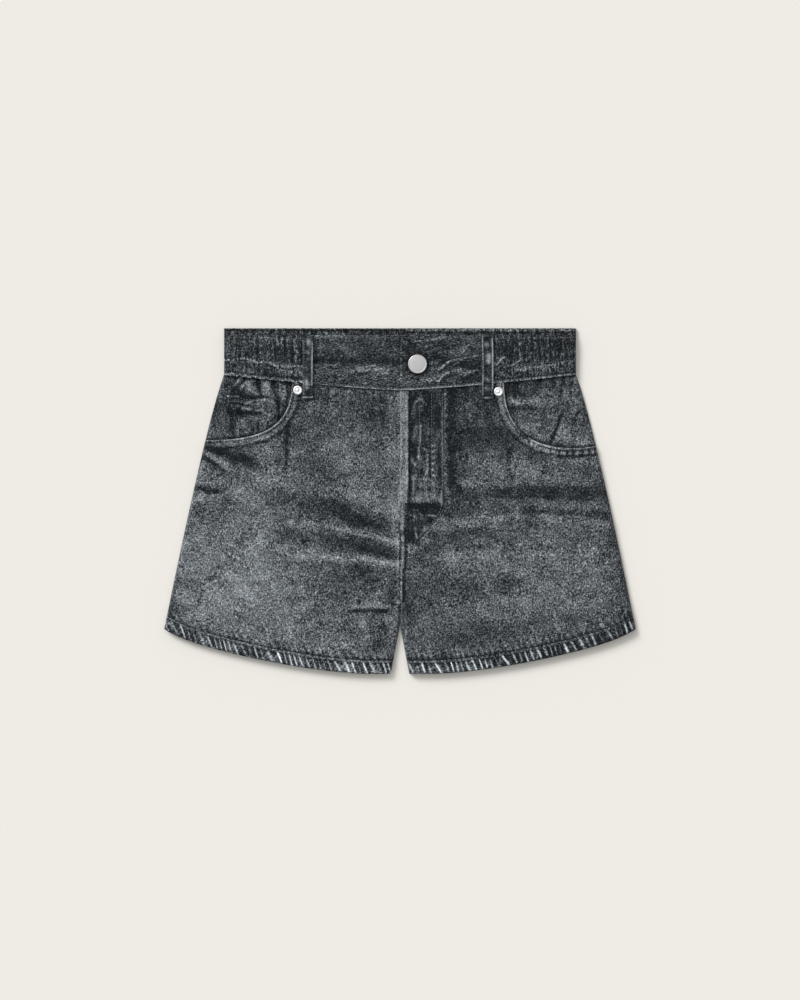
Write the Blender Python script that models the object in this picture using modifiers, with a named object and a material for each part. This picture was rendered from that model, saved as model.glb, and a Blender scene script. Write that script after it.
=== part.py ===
"""Wide-leg denim shorts with a gathered waist, laid flat on a surface with the front up.

The origin lies on the surface under the middle of the shorts. +X runs to the wearer's left,
+Y to the waist and +Z up. Sizes are in millimetres and become metres where a mesh is made.
Outlines are worked out for one half, with x counted from the middle line, and a side of
1 (the wearer's left) or -1 (right) places them.
"""

import math
from collections import namedtuple

import bmesh
import bpy

MM = 0.001

# Outline, seen from above
WAIST_HALF = 176.0      # middle line to the side of the waistband
HEM_HALF = 236.0        # middle line to the outer corner of a hem
WAIST_TOP = 173.0       # top edge of the back waistband
FRONT_TOP = 166.0       # top edge of the front waistband
SEAM_SIDE = 126.0       # waist seam at the sides
SEAM_MIDDLE = 110.5     # waist seam at the middle of the front
BACK_SEAM = 128.0       # waist seam of the back
CROTCH = -123.0         # where the legs part
HEM_LOW = -173.0        # lowest edge of the hems
HEM_ROUND = 39.0        # rise of a hem's edge towards the side
HEM_CORNER = 6.0        # further rise at its outer corner
HEM_DEEP = 13.5         # depth of a turned hem
BACK_HEM_SHORT = 0.7    # how far the back's hem stays behind the front's
LEG_GAP = 18.4          # space between the hems' inner corners
SIDE_CURVE = 0.85       # below 1 the side seam bows outwards
SEAM_CURVE = 1.3        # above 1 the waist seam hangs in a bow
HEM_STRAIGHT = 30.0     # middle line to where a hem starts to rise
HEM_CURVE = 1.6
CORNER_CURVE = 12
INSEAM_CURVE = 1.1

# Cloth
CLOTH = 1.3             # thickness of one wall
GAP = 0.3               # clearance between pieces
TURNED = 2.6            # thickness of a turned hem
BAND = 2.4              # thickness of the plain waistband
BACK_BAND = 3.4         # thickness of the gathered back waistband
COIN_CLOTH = 1.0        # thickness of the coin pocket and of the fly
LOOP_CLOTH = 2.2        # thickness of a belt loop
PRESSED = 0.3           # how far a stitched edge is pressed down

# Heights of the front's outer face above the surface
LOFT = 6.0              # open field of a leg
WAIST_LIFT = 0.5        # added near the waist seam,
WAIST_LIFT_FROM = 78.0  # from this height up the front
WAIST_LIFT_RUN = 34.0
HEM_LIFT = 0.4          # added near the hems,
HEM_LIFT_FROM = 42.0    # from this far above a hem's edge
HEM_LIFT_RUN = 30.0
SEAM_DIP = 0.5          # groove of the middle seam
SEAM_DIP_WIDTH = 3.0
CROTCH_RUN = 16.0       # length over which the middle seam turns into two inseams
HEM_TOP = 7.2
BAND_TOP = 7.9
OVERLAP_LIFT = 0.8      # step where the waistband's ends overlap
EDGE_ROLL = 5.0         # radius of a panel where it turns down to the back
BAND_ROLL = 6.0         # the same for the thicker bands
FOLDED_EDGE = 0.8       # raised, stitched edge of a pocket opening
FOLDED_WIDTH = 6.8
FOLDED_STEP = 1.8

# Gathers
GATHER = 0.9            # height of the waistband's gathers
BACK_GATHER = 0.45
SIDE_GATHERS = 15
BACK_GATHERS = 42
EDGE_WAVE = 0.08        # swing of the waistband's top edge
HEM_PUCKER = 0.45       # height of the hems' puckers
HEM_PITCH = 6.3         # from one pucker to the next
HEM_SLANT = 0.4         # their lean
STEPS_A_WAVE = 3        # points along a gather or pucker
ELASTIC_START = {-1: 92.0, 1: 88.0}

# Where the pocket openings run: three control points on each side, and the end on the side seam
POCKET_CURVE = {
    -1: ((108.0, 116.4), (110.0, 78.0), (131.0, 60.0)),
    1: ((104.0, 116.8), (104.5, 70.0), (135.0, 45.0)),
}
POCKET_END = {-1: 61.0, 1: 55.0}
POCKET_UNDERLAP = 8.0   # how far a facing runs under the front
FACING_DROP = 0.5       # clearance between a facing and the front over it
FACING_DIP = 0.6        # added to it further in under the front
FACING_DIP_RUN = 4.0
FACING_SIDE_GAP = 1.2   # clearance below a facing at the side seam

# Hard pieces
BUTTON_PLACE = (17.5, 136.7)
RIVET_PLACE = {-1: (102.2, 110.8), 1: (98.4, 109.3)}
LOOP_SPAN = {-1: (87.0, 97.2), 1: (81.8, 93.2)}
LOOP_TOP = 164.5
LOOP_FOOT = 102.0
LOOP_ARCH = 1.1         # how far a loop stands off the waistband at its middle
LOOP_RIM = 1.5          # width of its raised edge
LOOP_RIM_LIFT = 0.2

# Coin pocket: its upper edge falls a little towards the opening and is rounded off at its end
COIN_SPAN = (173.0, 121.5)
COIN_TOP = 105.6
COIN_FALL = 2.8
COIN_FALL_RUN = 10.0
COIN_CORNER = 6.0
COIN_CORNER_RUN = 9.0

# Fly: straight down to where it narrows, with a raised strip beside the middle line
FLY_WIDTH = 43.5
FLY_FOOT_WIDTH = 17.0
FLY_STRAIGHT = -1.0
FLY_NARROWING = 62.0
FLY_SHARPNESS = 1.45
FLY_STRIP_LIFT = 0.7

Fold = namedtuple("Fold", "start_x start_y end_x end_y bow spread height")
FOLDS = (
    # the leg on the wearer's right
    Fold(-118, 26, -12, -14, 8.0, 9.0, 0.9),
    Fold(-108, 6, -24, -26, 3.0, 8.0, -1.3),
    Fold(-106, -22, -8, -40, 4.0, 6.5, 1.5),
    Fold(-110, -35, -8, -53, 3.0, 6.0, -1.1),
    Fold(-100, -56, -6, -66, 2.0, 6.5, 1.4),
    Fold(-66, -80, -44, -84, 0.0, 14.0, -0.8),
    Fold(-6, -88, -24, -140, -3.0, 7.0, -0.8),
    Fold(-194, 50, -168, 30, 0.0, 5.0, 1.3),
    Fold(-196, 40, -172, 22, 0.0, 5.0, -1.0),
    Fold(-198, 2, -176, 8, 0.0, 6.0, 0.9),
    Fold(-196, -92, -150, -40, 3.0, 9.0, -0.7),
    Fold(-113, 74, -115, 24, 0.0, 5.0, -0.6),
    # the leg on the wearer's left
    Fold(50, 104, 53, -8, 0.0, 6.0, -0.8),
    Fold(112, 50, 111, 2, 0.0, 5.0, -0.6),
    Fold(84, 6, 200, 8, 3.0, 7.0, -1.2),
    Fold(128, -10, 204, -13, 0.0, 6.0, -0.7),
    Fold(42, -28, 200, -24, 9.0, 7.0, 1.5),
    Fold(60, -52, 196, -58, 4.0, 9.0, 0.7),
    Fold(30, -99, 108, -86, 3.0, 9.0, -0.8),
)

# Rows of a front panel: where each starts along the pocket's edge, and how far below the row
# before it ends on the middle line. The rest start on the side seam.
PocketRow = namedtuple("PocketRow", "share spacing")
POCKET_ROWS = (
    PocketRow(0.0, 0.0),
    PocketRow(0.16, 12.0),
    PocketRow(0.31, 12.0),
    PocketRow(0.46, 12.0),
    PocketRow(0.6, 12.0),
    PocketRow(0.74, 12.0),
    PocketRow(0.87, 12.0),
    PocketRow(0.975, 10.0),
    PocketRow(0.993, 4.0),
    PocketRow(1.0, 2.0),
)
RowStep = namedtuple("RowStep", "count spacing")
LEG_ROWS = (RowStep(14, 7.4), RowStep(6, 13.0))
PANEL_FIELD = 9         # columns between a front panel's shaped edges
PANEL_MARKS = (7.2, 9.0)    # columns on either side of the pocket's folded edge
FACING_ROWS = 8
BACK_GRID = (14, 10)    # rows and columns of a back panel
COIN_GRID = (5, 10)
BAND_COLUMNS = 8        # of the plain waistband
BACK_HEM_COLUMNS = 24
LOOP_ROWS = 7
FLY_ROWS = (96, 84, 72, 60, 48, 36, 24, 12, -2, -10, -18, -26, -34, -42)
FlyColumn = namedtuple("FlyColumn", "share lift")
FLY_COLUMNS = (
    FlyColumn(0.0, 0.0),
    FlyColumn(0.012, FLY_STRIP_LIFT),
    FlyColumn(0.18, FLY_STRIP_LIFT),
    FlyColumn(0.215, 0.0),
    FlyColumn(0.45, 0.0),
    FlyColumn(0.72, 0.0),
    FlyColumn(0.97, 0.0),
    FlyColumn(1.0, -PRESSED),
)

# Rows of the waistbands, from the lower edge up
BandRow = namedtuple("BandRow", "share lift gathers")
PLAIN_ROWS = (BandRow(0.0, -0.5, 0), BandRow(0.08, 0, 0), BandRow(0.92, 0, 0), BandRow(1.0, -0.5, 0))
GATHERED_ROWS = (
    BandRow(0.0, -0.6, 0.3),
    BandRow(0.1, 0.0, 0.45),
    BandRow(0.36, -0.3, 0.35),
    BandRow(0.5, 0.3, 0.9),
    BandRow(0.9, 0.3, 1.0),
    BandRow(1.0, -0.4, 0.8),
)
BACK_ROWS = (BandRow(0.0, 0, 0.0), BandRow(0.85, 0, 1.0), BandRow(1.0, -0.3, 1.0))
HEM_ROWS = (BandRow(0.0, -0.8, 0.5), BandRow(0.2, 0, 1.0), BandRow(0.8, 0, 1.0), BandRow(1.0, -0.3, 0.4))

# Where a panel turns down at an edge, and where a mesh is shaded with a crease
ROLL_ANGLES = (0.0, math.radians(45), math.radians(90))
CREASE_ANGLE = math.radians(50)
BUTTON_STEPS = 32
RIVET_STEPS = 24

# Turned pieces: radius and height, from the top of the outer side down
BUTTON_PROFILE = (
    (0.0, 4.12), (3.0, 4.1), (6.0, 4.02), (7.8, 3.9), (8.7, 4.04), (9.2, 3.82), (9.5, 3.1),
    (9.0, 2.5), (8.2, 2.2), (4.6, 2.0), (4.2, 1.2), (4.6, 0.5), (5.4, 0.0), (0.0, 0.0),
)
RIVET_PROFILE = (
    (0.0, 1.9), (0.9, 1.74), (1.5, 0.9), (1.9, 0.62), (2.8, 0.98), (4.0, 0.98), (4.6, 0.3), (4.6, 0.0),
    (0.0, 0.0),
)


def mix(first, last, share):
    return first + (last - first) * share


def ease(value):
    value = min(max(value, 0.0), 1.0)
    return value * value * (3.0 - 2.0 * value)


# Outline curves of one half


def waist_seam(x):
    return SEAM_MIDDLE + (SEAM_SIDE - SEAM_MIDDLE) * (x / WAIST_HALF) ** SEAM_CURVE


def hem_edge(x):
    out = max(x - HEM_STRAIGHT, 0.0) / (HEM_HALF - HEM_STRAIGHT)
    return HEM_LOW + HEM_ROUND * out**HEM_CURVE + HEM_CORNER * out**CORNER_CURVE


CORNER = hem_edge(HEM_HALF)


def side_seam(y):
    down = max(SEAM_SIDE - y, 0.0) / (SEAM_SIDE - CORNER)
    return WAIST_HALF + (HEM_HALF - WAIST_HALF) * down**SIDE_CURVE


def inseam(y):
    down = max(CROTCH - y, 0.0) / (CROTCH - HEM_LOW)
    return GAP / 2 + (LEG_GAP / 2) * down**INSEAM_CURVE


def hem_point(share, up):
    """A point on a hem: share runs from the inseam to the side, up from the lower edge."""
    low_x = mix(inseam(HEM_LOW), HEM_HALF, share)
    return mix(inseam(HEM_LOW + up), side_seam(CORNER + up), share), hem_edge(low_x) + up


def bezier(points, share):
    rest = 1.0 - share
    weights = (rest**3, 3 * rest**2 * share, 3 * rest * share**2, share**3)
    return tuple(sum(weight * point[axis] for weight, point in zip(weights, points)) for axis in (0, 1))


def pocket_edge(side, share):
    end = (side_seam(POCKET_END[side]), POCKET_END[side])
    return bezier((*POCKET_CURVE[side], end), share)


POCKET_STEPS = 60
POCKET_SAMPLES = {
    side: [pocket_edge(side, step / POCKET_STEPS) for step in range(POCKET_STEPS + 1)] for side in (-1, 1)
}


def past_pocket_edge(side, x, y):
    """Distance from the edge of a pocket opening: positive on the front, negative on the facing."""
    samples = POCKET_SAMPLES[side]
    near = min(range(len(samples)), key=lambda place: math.dist((x, y), samples[place]))
    before, after = samples[max(near - 1, 0)], samples[min(near + 1, len(samples) - 1)]
    run_x, run_y = after[0] - before[0], after[1] - before[1]
    outward = (x - samples[near][0]) * run_y - (y - samples[near][1]) * run_x
    return math.copysign(math.dist((x, y), samples[near]), outward)


# Heights of the front


def fold_height(x, y):
    """Sum of the soft ridges and troughs at a point of the whole garment."""
    total = 0.0
    for fold in FOLDS:
        run_x, run_y = fold.end_x - fold.start_x, fold.end_y - fold.start_y
        length = math.hypot(run_x, run_y)
        step_x, step_y = x - fold.start_x, y - fold.start_y
        along = (step_x * run_x + step_y * run_y) / length**2
        across = (step_y * run_x - step_x * run_y) / length
        inside = min(max(along, 0.0), 1.0)
        bow = fold.bow * 4.0 * inside * (1.0 - inside)
        past_end = (along - inside) * length * 0.5
        total += fold.height * math.exp(-(math.hypot(across - bow, past_end) / fold.spread) ** 2)
    return total


def loft(side, x, y):
    """Outer face of a front panel in its open field."""
    near_waist = ease((y - WAIST_LIFT_FROM) / WAIST_LIFT_RUN)
    near_hem = ease((hem_edge(x) + HEM_LIFT_FROM - y) / HEM_LIFT_RUN)
    seam_dip = SEAM_DIP * math.exp(-((x / SEAM_DIP_WIDTH) ** 2))
    return LOFT + WAIST_LIFT * near_waist + HEM_LIFT * near_hem - seam_dip + fold_height(side * x, y)


def panel_face(side, x, y):
    """The same with the folded edge of the pocket opening."""
    edge = 1.0 - ease((past_pocket_edge(side, x, y) - FOLDED_WIDTH) / FOLDED_STEP)
    return loft(side, x, y) + FOLDED_EDGE * edge


def facing_face(side, x, y):
    """The outer face that a facing would have at the front's level, dipping where the front covers it."""
    return loft(side, x, y) - FACING_DIP * ease(past_pocket_edge(side, x, y) / FACING_DIP_RUN)


def inset(angle, depth, roll):
    """Distance in from an edge of a layer, after it has turned through an angle."""
    return depth + (roll - depth) * (1.0 - math.cos(angle))


def turn(distance, depth, roll):
    """Share of its full height that a layer has reached at a distance from an edge."""
    reach = min(max((roll - distance) / (roll - depth), 0.0), 1.0)
    return math.sqrt(1.0 - reach**2)


def settle(x, y, top, depth, set_in, rim, roll):
    """Height of a layer that turns down to its rim at the side and, below the crotch, at the inseam.

    Its rim stands set_in away from the edge.
    """
    parted = ease((CROTCH + CROTCH_RUN - y) / CROTCH_RUN)
    risen = turn(side_seam(y) - x, set_in, roll)
    risen *= mix(1.0, turn(x - inseam(y) + set_in * (1.0 - parted), set_in, roll), parted)
    return mix(rim, top - depth, risen)


# Meshes


def material(name, color, roughness, metallic=0.0):
    made = bpy.data.materials.new(name)
    made.use_nodes = True
    shader = made.node_tree.nodes["Principled BSDF"]
    shader.inputs["Base Color"].default_value = (*color, 1.0)
    shader.inputs["Roughness"].default_value = roughness
    shader.inputs["Metallic"].default_value = metallic
    return made


def add_object(name, mesh, color, roughness, metallic=0.0):
    piece = bpy.data.objects.new(name, mesh)
    mesh.materials.append(material(name, color, roughness, metallic))
    PARTS.objects.link(piece)
    return piece


def wall(name, face, back, color):
    """One closed wall between two grids of points of the same size, its face and its back."""
    shape = bmesh.new()
    outer, inner = (
        [[shape.verts.new([value * MM for value in point]) for point in row] for row in grid]
        for grid in (face, back)
    )
    last_row, last_column = len(face) - 1, len(face[0]) - 1
    for row in range(last_row):
        for column in range(last_column):
            for grid in (outer, inner):
                corners = (grid[row][column], grid[row][column + 1])
                shape.faces.new((*corners, grid[row + 1][column + 1], grid[row + 1][column]))
    border = [(0, column) for column in range(last_column)]
    border += [(row, last_column) for row in range(last_row)]
    border += [(last_row, column) for column in range(last_column, 0, -1)]
    border += [(row, 0) for row in range(last_row, 0, -1)]
    for (row, column), (next_row, next_column) in zip(border, border[1:] + border[:1]):
        edge = (outer[row][column], outer[next_row][next_column])
        shape.faces.new((*edge, inner[next_row][next_column], inner[row][column]))
    bmesh.ops.recalc_face_normals(shape, faces=shape.faces)
    mesh = bpy.data.meshes.new(name)
    shape.to_mesh(mesh)
    shape.free()
    mesh.shade_smooth()
    mesh.set_sharp_from_angle(angle=CREASE_ANGLE)
    return add_object(name, mesh, color, 0.9)


def across(lefts, rights, top, bottom, shares):
    """Rows of points between two lists of ends, bent to one curve at the top and one at the bottom."""
    grid = []
    drop = rights[0][1] - rights[-1][1]
    for left, right in zip(lefts, rights):
        down = (rights[0][1] - right[1]) / drop
        row = []
        for share in shares(math.dist(left, right)):
            straight = [mix(left[axis], right[axis], share) for axis in (0, 1)]
            above = [top(share)[axis] - mix(lefts[0][axis], rights[0][axis], share) for axis in (0, 1)]
            below = [bottom(share)[axis] - mix(lefts[-1][axis], rights[-1][axis], share) for axis in (0, 1)]
            row.append([straight[axis] + mix(above[axis], below[axis], down) for axis in (0, 1)])
        grid.append(row)
    return grid


def shares_between(depth, roll, field, marks=(), inner_roll=True):
    """How a row is cut up: close together where it turns at its ends, and evenly between them."""
    turns = [inset(angle, depth, roll) for angle in ROLL_ANGLES]

    def shares(width):
        outer = turns + list(marks)
        ends = [width - value for value in reversed(turns)] if inner_roll else [width]
        middle = [mix(outer[-1], ends[0], (step + 1) / (field + 1)) for step in range(field)]
        return [value / width for value in outer + middle + ends]

    return shares


def raise_grid(side, grid, height):
    return [[(side * x, y, height(x, y)) for x, y in row] for row in grid]


# Pieces


def front_panel(side, name):
    lefts, rights = [], []
    middle_y = waist_seam(0) - GAP
    for row in POCKET_ROWS:
        middle_y -= row.spacing
        lefts.append(pocket_edge(side, row.share))
        rights.append((GAP / 2, middle_y))
    spacings = [step.spacing for step in LEG_ROWS for _ in range(step.count)]
    low_side = hem_point(1.0, HEM_DEEP + GAP)
    low_middle = hem_point(0.0, HEM_DEEP + GAP)
    side_top, middle_top = lefts[-1][1], rights[-1][1]
    passed = 0.0
    for spacing in spacings:
        passed += spacing / sum(spacings)
        y = mix(side_top, low_side[1], passed)
        lefts.append((side_seam(y), y))
        y = mix(middle_top, low_middle[1], passed)
        rights.append((inseam(y), y))
    start = lefts[0]

    def top(share):
        x = mix(start[0], rights[0][0], share)
        return x, waist_seam(x) - GAP

    def bottom(share):
        return hem_point(1.0 - share, HEM_DEEP + GAP)

    lefts[0] = top(0.0)
    layers = []
    for depth, surface in ((0.0, panel_face), (CLOTH, loft)):
        grid = across(lefts, rights, top, bottom, shares_between(depth, EDGE_ROLL, PANEL_FIELD, PANEL_MARKS))
        layers.append(raise_grid(side, grid, lambda x, y: settle(
            x, y, surface(side, x, y), depth, depth, CLOTH + GAP, EDGE_ROLL)))
    return wall(name, *layers, (0.08, 0.085, 0.095))


def pocket_facing(side, name):
    inner_x = POCKET_CURVE[side][0][0] - POCKET_UNDERLAP
    top_y = waist_seam(inner_x) - GAP
    side_end = pocket_edge(side, 1.0)[1] + GAP
    rows = FACING_ROWS
    seam_y = waist_seam(WAIST_HALF) - GAP
    lefts = [(side_seam(y), y) for y in (mix(seam_y, side_end, step / rows) for step in range(rows + 1))]

    def top(share):
        x = mix(WAIST_HALF, inner_x, share)
        return x, waist_seam(min(x, WAIST_HALF)) - GAP

    def bottom(share):
        """The pocket edge moved under the front, except at the side seam."""
        along = 1.0 - share
        x, y = pocket_edge(side, along)
        ahead, behind = pocket_edge(side, min(along + 0.02, 1.0)), pocket_edge(side, max(along - 0.02, 0.0))
        run = math.dist(ahead, behind)
        normal = ((ahead[1] - behind[1]) / run, -(ahead[0] - behind[0]) / run)
        under = mix(-FACING_SIDE_GAP, POCKET_UNDERLAP, ease((share - 0.03) / 0.25))
        return x + normal[0] * under, y + normal[1] * under

    rights = [(bottom(1.0)[0], mix(top_y, bottom(1.0)[1], step / rows)) for step in range(rows + 1)]
    layers = []
    for set_in in (GAP, CLOTH + GAP):
        depth = CLOTH + FACING_DROP - GAP + set_in
        grid = across(lefts, rights, top, bottom, shares_between(set_in, EDGE_ROLL, PANEL_FIELD, inner_roll=False))
        layers.append(raise_grid(side, grid, lambda x, y: settle(
            x, y, facing_face(side, x, y), depth, set_in, CLOTH + GAP, EDGE_ROLL)))
    return wall(name, *layers, (0.07, 0.075, 0.085))


def coin_pocket(name):
    side = -1
    outer_x, inner_x = COIN_SPAN
    rows, columns = COIN_GRID

    def low_edge(x):
        return min(POCKET_SAMPLES[side], key=lambda point: abs(point[0] - x))[1] + 1.0

    def high_edge(x):
        fall = COIN_FALL * ease((outer_x - COIN_FALL_RUN - x) / COIN_FALL_RUN)
        rounding = max((inner_x + COIN_CORNER_RUN - x) / COIN_CORNER_RUN, 0.0) ** 2
        return COIN_TOP - fall - COIN_CORNER * rounding

    places = [mix(outer_x, inner_x, column / columns) for column in range(columns + 1)]
    grid = [[(x, mix(high_edge(x), low_edge(x), row / rows)) for x in places] for row in range(rows + 1)]
    under = CLOTH + FACING_DROP - GAP
    layers = [raise_grid(side, grid, lambda x, y: loft(side, x, y) - depth)
              for depth in (under - COIN_CLOTH, under)]
    return wall(name, *layers, (0.06, 0.065, 0.075))


def fly_placket(name):
    high = waist_seam(0) - 2 * GAP

    def right_end(y):
        return mix(FLY_WIDTH, FLY_FOOT_WIDTH, ease((FLY_STRAIGHT - y) / FLY_NARROWING) * FLY_SHARPNESS)

    face, back = [], []
    for y in (high, *FLY_ROWS):
        spots = [mix(GAP / 2, right_end(y), column.share) for column in FLY_COLUMNS]
        bases = [loft(1, x, y) + GAP for x in spots]
        back.append([(x, y, base) for x, base in zip(spots, bases)])
        face.append([(x, y, base + COIN_CLOTH + column.lift)
                     for x, base, column in zip(spots, bases, FLY_COLUMNS)])
    return wall(name, face, back, (0.1, 0.105, 0.115))


def band_top(side, x):
    overlap = OVERLAP_LIFT * (1.0 - ease((x - 36.0) / 12.0)) if side > 0 else 0.0
    return BAND_TOP + overlap


def gather(share, count):
    """A row of gathers with uneven spacing."""
    return math.sin(2 * math.pi * (count * share + 0.12 * math.sin(2 * math.pi * 2.6 * share)))


def waistband_front(side, name):
    start, end = GAP / 2, ELASTIC_START[side] - GAP / 2
    columns = [mix(start, end, step / BAND_COLUMNS) for step in range(BAND_COLUMNS + 1)]
    face, back = [], []
    for row in PLAIN_ROWS:
        places = [(x, mix(waist_seam(x) + GAP / 2, FRONT_TOP, row.share)) for x in columns]
        face.append([(side * x, y, band_top(side, x) + row.lift) for x, y in places])
        back.append([(side * x, y, band_top(side, x) - BAND) for x, y in places])
    return wall(name, face, back, (0.055, 0.06, 0.07))


def waistband_side(side, name):
    start = ELASTIC_START[side] + GAP / 2
    rim = BACK_BAND + BACK_GATHER + GAP
    count = SIDE_GATHERS * STEPS_A_WAVE
    depth = BAND
    face, back = [], []
    for row in GATHERED_ROWS:
        outer_row, inner_row = [], []
        for step in range(count + 1):
            share = step / count
            for layer, target in ((0.0, outer_row), (depth, inner_row)):
                x = mix(start, WAIST_HALF - layer, share)
                y = mix(waist_seam(x) + GAP / 2, FRONT_TOP, row.share)
                grown = ease((x - start - 4.0) / 6.0)
                lift = grown * (row.lift + row.gathers * GATHER * gather(share, SIDE_GATHERS))
                top = BAND_TOP + (lift if layer == 0.0 else 0.0)
                risen = turn(WAIST_HALF - x, layer, BAND_ROLL)
                target.append((side * x, y, mix(rim, top - layer, risen)))
        face.append(outer_row)
        back.append(inner_row)
    return wall(name, face, back, (0.05, 0.055, 0.065))


def waistband_back(name):
    count = BACK_GATHERS * STEPS_A_WAVE
    face, back = [], []
    for row in BACK_ROWS:
        outer_row, inner_row = [], []
        for step in range(count + 1):
            share = step / count
            wave = gather(share, BACK_GATHERS)
            x = mix(-WAIST_HALF, WAIST_HALF, share)
            y = mix(BACK_SEAM + GAP / 2, WAIST_TOP - EDGE_WAVE + EDGE_WAVE * wave, row.share)
            outer_row.append((x, y, BACK_BAND + row.lift + row.gathers * BACK_GATHER * wave))
            inner_row.append((x, y, 0.0))
        face.append(outer_row)
        back.append(inner_row)
    return wall(name, face, back, (0.05, 0.055, 0.065))


def back_panel(side, name):
    rows, columns = BACK_GRID
    low_side, low_middle = hem_point(1.0, HEM_DEEP + GAP), hem_point(0.0, HEM_DEEP + GAP)
    high = BACK_SEAM - GAP / 2
    lefts, rights = [], []
    for step in range(rows + 1):
        y = mix(high, low_side[1], step / rows)
        lefts.append((side_seam(y), y))
        y = mix(high, low_middle[1], step / rows)
        rights.append((inseam(y), y))

    def top(share):
        return mix(WAIST_HALF, GAP / 2, share), high

    def bottom(share):
        return hem_point(1.0 - share, HEM_DEEP + GAP)

    grid = across(lefts, rights, top, bottom, lambda width: [step / columns for step in range(columns + 1)])
    layers = [raise_grid(side, grid, lambda x, y: height) for height in (CLOTH, 0.0)]
    return wall(name, *layers, (0.075, 0.08, 0.09))


def hem_front(side, name):
    width = HEM_HALF - inseam(HEM_LOW)
    count = round(width / HEM_PITCH * STEPS_A_WAVE)
    rim = TURNED + GAP
    face, back = [], []
    for row in HEM_ROWS:
        outer_row, inner_row = [], []
        for step in range(count + 1):
            share = step / count
            for layer, target in ((0.0, outer_row), (TURNED, inner_row)):
                place = mix(layer / width, 1.0 - layer / width, share)
                up = HEM_DEEP * row.share
                x, y = hem_point(place, up)
                wave = math.sin(2 * math.pi * (x + side * HEM_SLANT * up) / HEM_PITCH)
                lift = row.lift + row.gathers * HEM_PUCKER * wave
                risen = turn(width * (1.0 - place), layer, BAND_ROLL) * turn(width * place, layer, BAND_ROLL)
                top = HEM_TOP + (lift if layer == 0.0 else 0.0)
                target.append((side * x, y, mix(rim, top - layer, risen)))
        face.append(outer_row)
        back.append(inner_row)
    return wall(name, face, back, (0.085, 0.09, 0.1))


def hem_back(side, name):
    face, back = [], []
    for up in (BACK_HEM_SHORT, HEM_DEEP):
        places = [hem_point(step / BACK_HEM_COLUMNS, up) for step in range(BACK_HEM_COLUMNS + 1)]
        face.append([(side * x, y, TURNED) for x, y in places])
        back.append([(side * x, y, 0.0) for x, y in places])
    return wall(name, face, back, (0.085, 0.09, 0.1))


def belt_loop(side, name):
    inner, outer = LOOP_SPAN[side]
    middle = (inner + outer) / 2
    seam = waist_seam(middle)
    band = band_top(side, middle) + GAP
    step_down, landed = seam - 0.8, seam - 4.0      # where a loop leaves the waistband and meets the panel
    high_rows = [mix(LOOP_TOP, seam + 0.5, step / LOOP_ROWS) for step in range(LOOP_ROWS + 1)]
    low_rows = [step_down, landed, mix(landed, LOOP_FOOT, 0.5), LOOP_FOOT]
    columns = (
        (inner, -PRESSED), (inner + LOOP_RIM, LOOP_RIM_LIFT), (middle, 0.0),
        (outer - LOOP_RIM, LOOP_RIM_LIFT), (outer, -PRESSED),
    )
    face, back = [], []
    for y in high_rows + low_rows:
        along = (LOOP_TOP - y) / (LOOP_TOP - seam)
        bow = LOOP_ARCH * math.sin(math.pi * min(max(along, 0.0), 1.0))
        on_panel = ease((step_down - y) / (step_down - landed - 0.2))
        outer_row, inner_row = [], []
        for place, lift in columns:
            under = mix(band + bow, loft(side, place, y) + GAP, on_panel)
            inner_row.append((side * place, y, under))
            outer_row.append((side * place, y, under + LOOP_CLOTH + lift))
        face.append(outer_row)
        back.append(inner_row)
    return wall(name, face, back, (0.1, 0.105, 0.115))


def turned(name, profile, place, height, steps):
    """A round piece turned from its profile about an upright axis."""
    shape = bmesh.new()
    points = [shape.verts.new((radius * MM, 0.0, up * MM)) for radius, up in profile]
    for first, last in zip(points, points[1:]):
        shape.edges.new((first, last))
    mesh = bpy.data.meshes.new(name)
    shape.to_mesh(mesh)
    shape.free()
    piece = add_object(name, mesh, (0.6, 0.6, 0.62), 0.3, 1.0)
    piece.location = (place[0] * MM, place[1] * MM, height * MM)
    screw = piece.modifiers.new("turn", "SCREW")
    screw.steps = steps
    screw.render_steps = steps
    screw.use_merge_vertices = True
    screw.merge_threshold = 0.00001
    screw.use_smooth_shade = True
    return piece


for item in list(bpy.data.objects):
    bpy.data.objects.remove(item, do_unlink=True)
PARTS = bpy.data.collections.new("wide_leg_shorts")
bpy.context.scene.collection.children.link(PARTS)

for half, wearer in ((-1, "right"), (1, "left")):
    back_panel(half, f"back_{wearer}")
    hem_back(half, f"hem_back_{wearer}")
    front_panel(half, f"front_{wearer}")
    hem_front(half, f"hem_front_{wearer}")
    pocket_facing(half, f"pocket_facing_{wearer}")
    waistband_front(half, f"waistband_front_{wearer}")
    waistband_side(half, f"waistband_side_{wearer}")
    belt_loop(half, f"belt_loop_{wearer}")
    rivet_x, rivet_y = RIVET_PLACE[half]
    rivet_base = loft(half, rivet_x, rivet_y) + FOLDED_EDGE + GAP
    turned(f"rivet_{wearer}", RIVET_PROFILE, (half * rivet_x, rivet_y), rivet_base, RIVET_STEPS)
waistband_back("waistband_back")
coin_pocket("coin_pocket")
fly_placket("fly_placket")
turned("button", BUTTON_PROFILE, BUTTON_PLACE, BAND_TOP + OVERLAP_LIFT + GAP, BUTTON_STEPS)
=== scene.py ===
"""The look of wide-leg denim shorts, laid flat with the front up, on a pale floor.

Sizes are in millimetres until a mesh is made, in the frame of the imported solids: +X runs to the
wearer's left, +Y to the waist and +Z up. Outlines are worked out for one half, with x counted from
the middle line, and a side of 1 (the wearer's left) or -1 (right) places them. Tones are grey
levels from 0 to 255, as the cloth looks under the scene's light.
"""

import math
from collections import namedtuple

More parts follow.
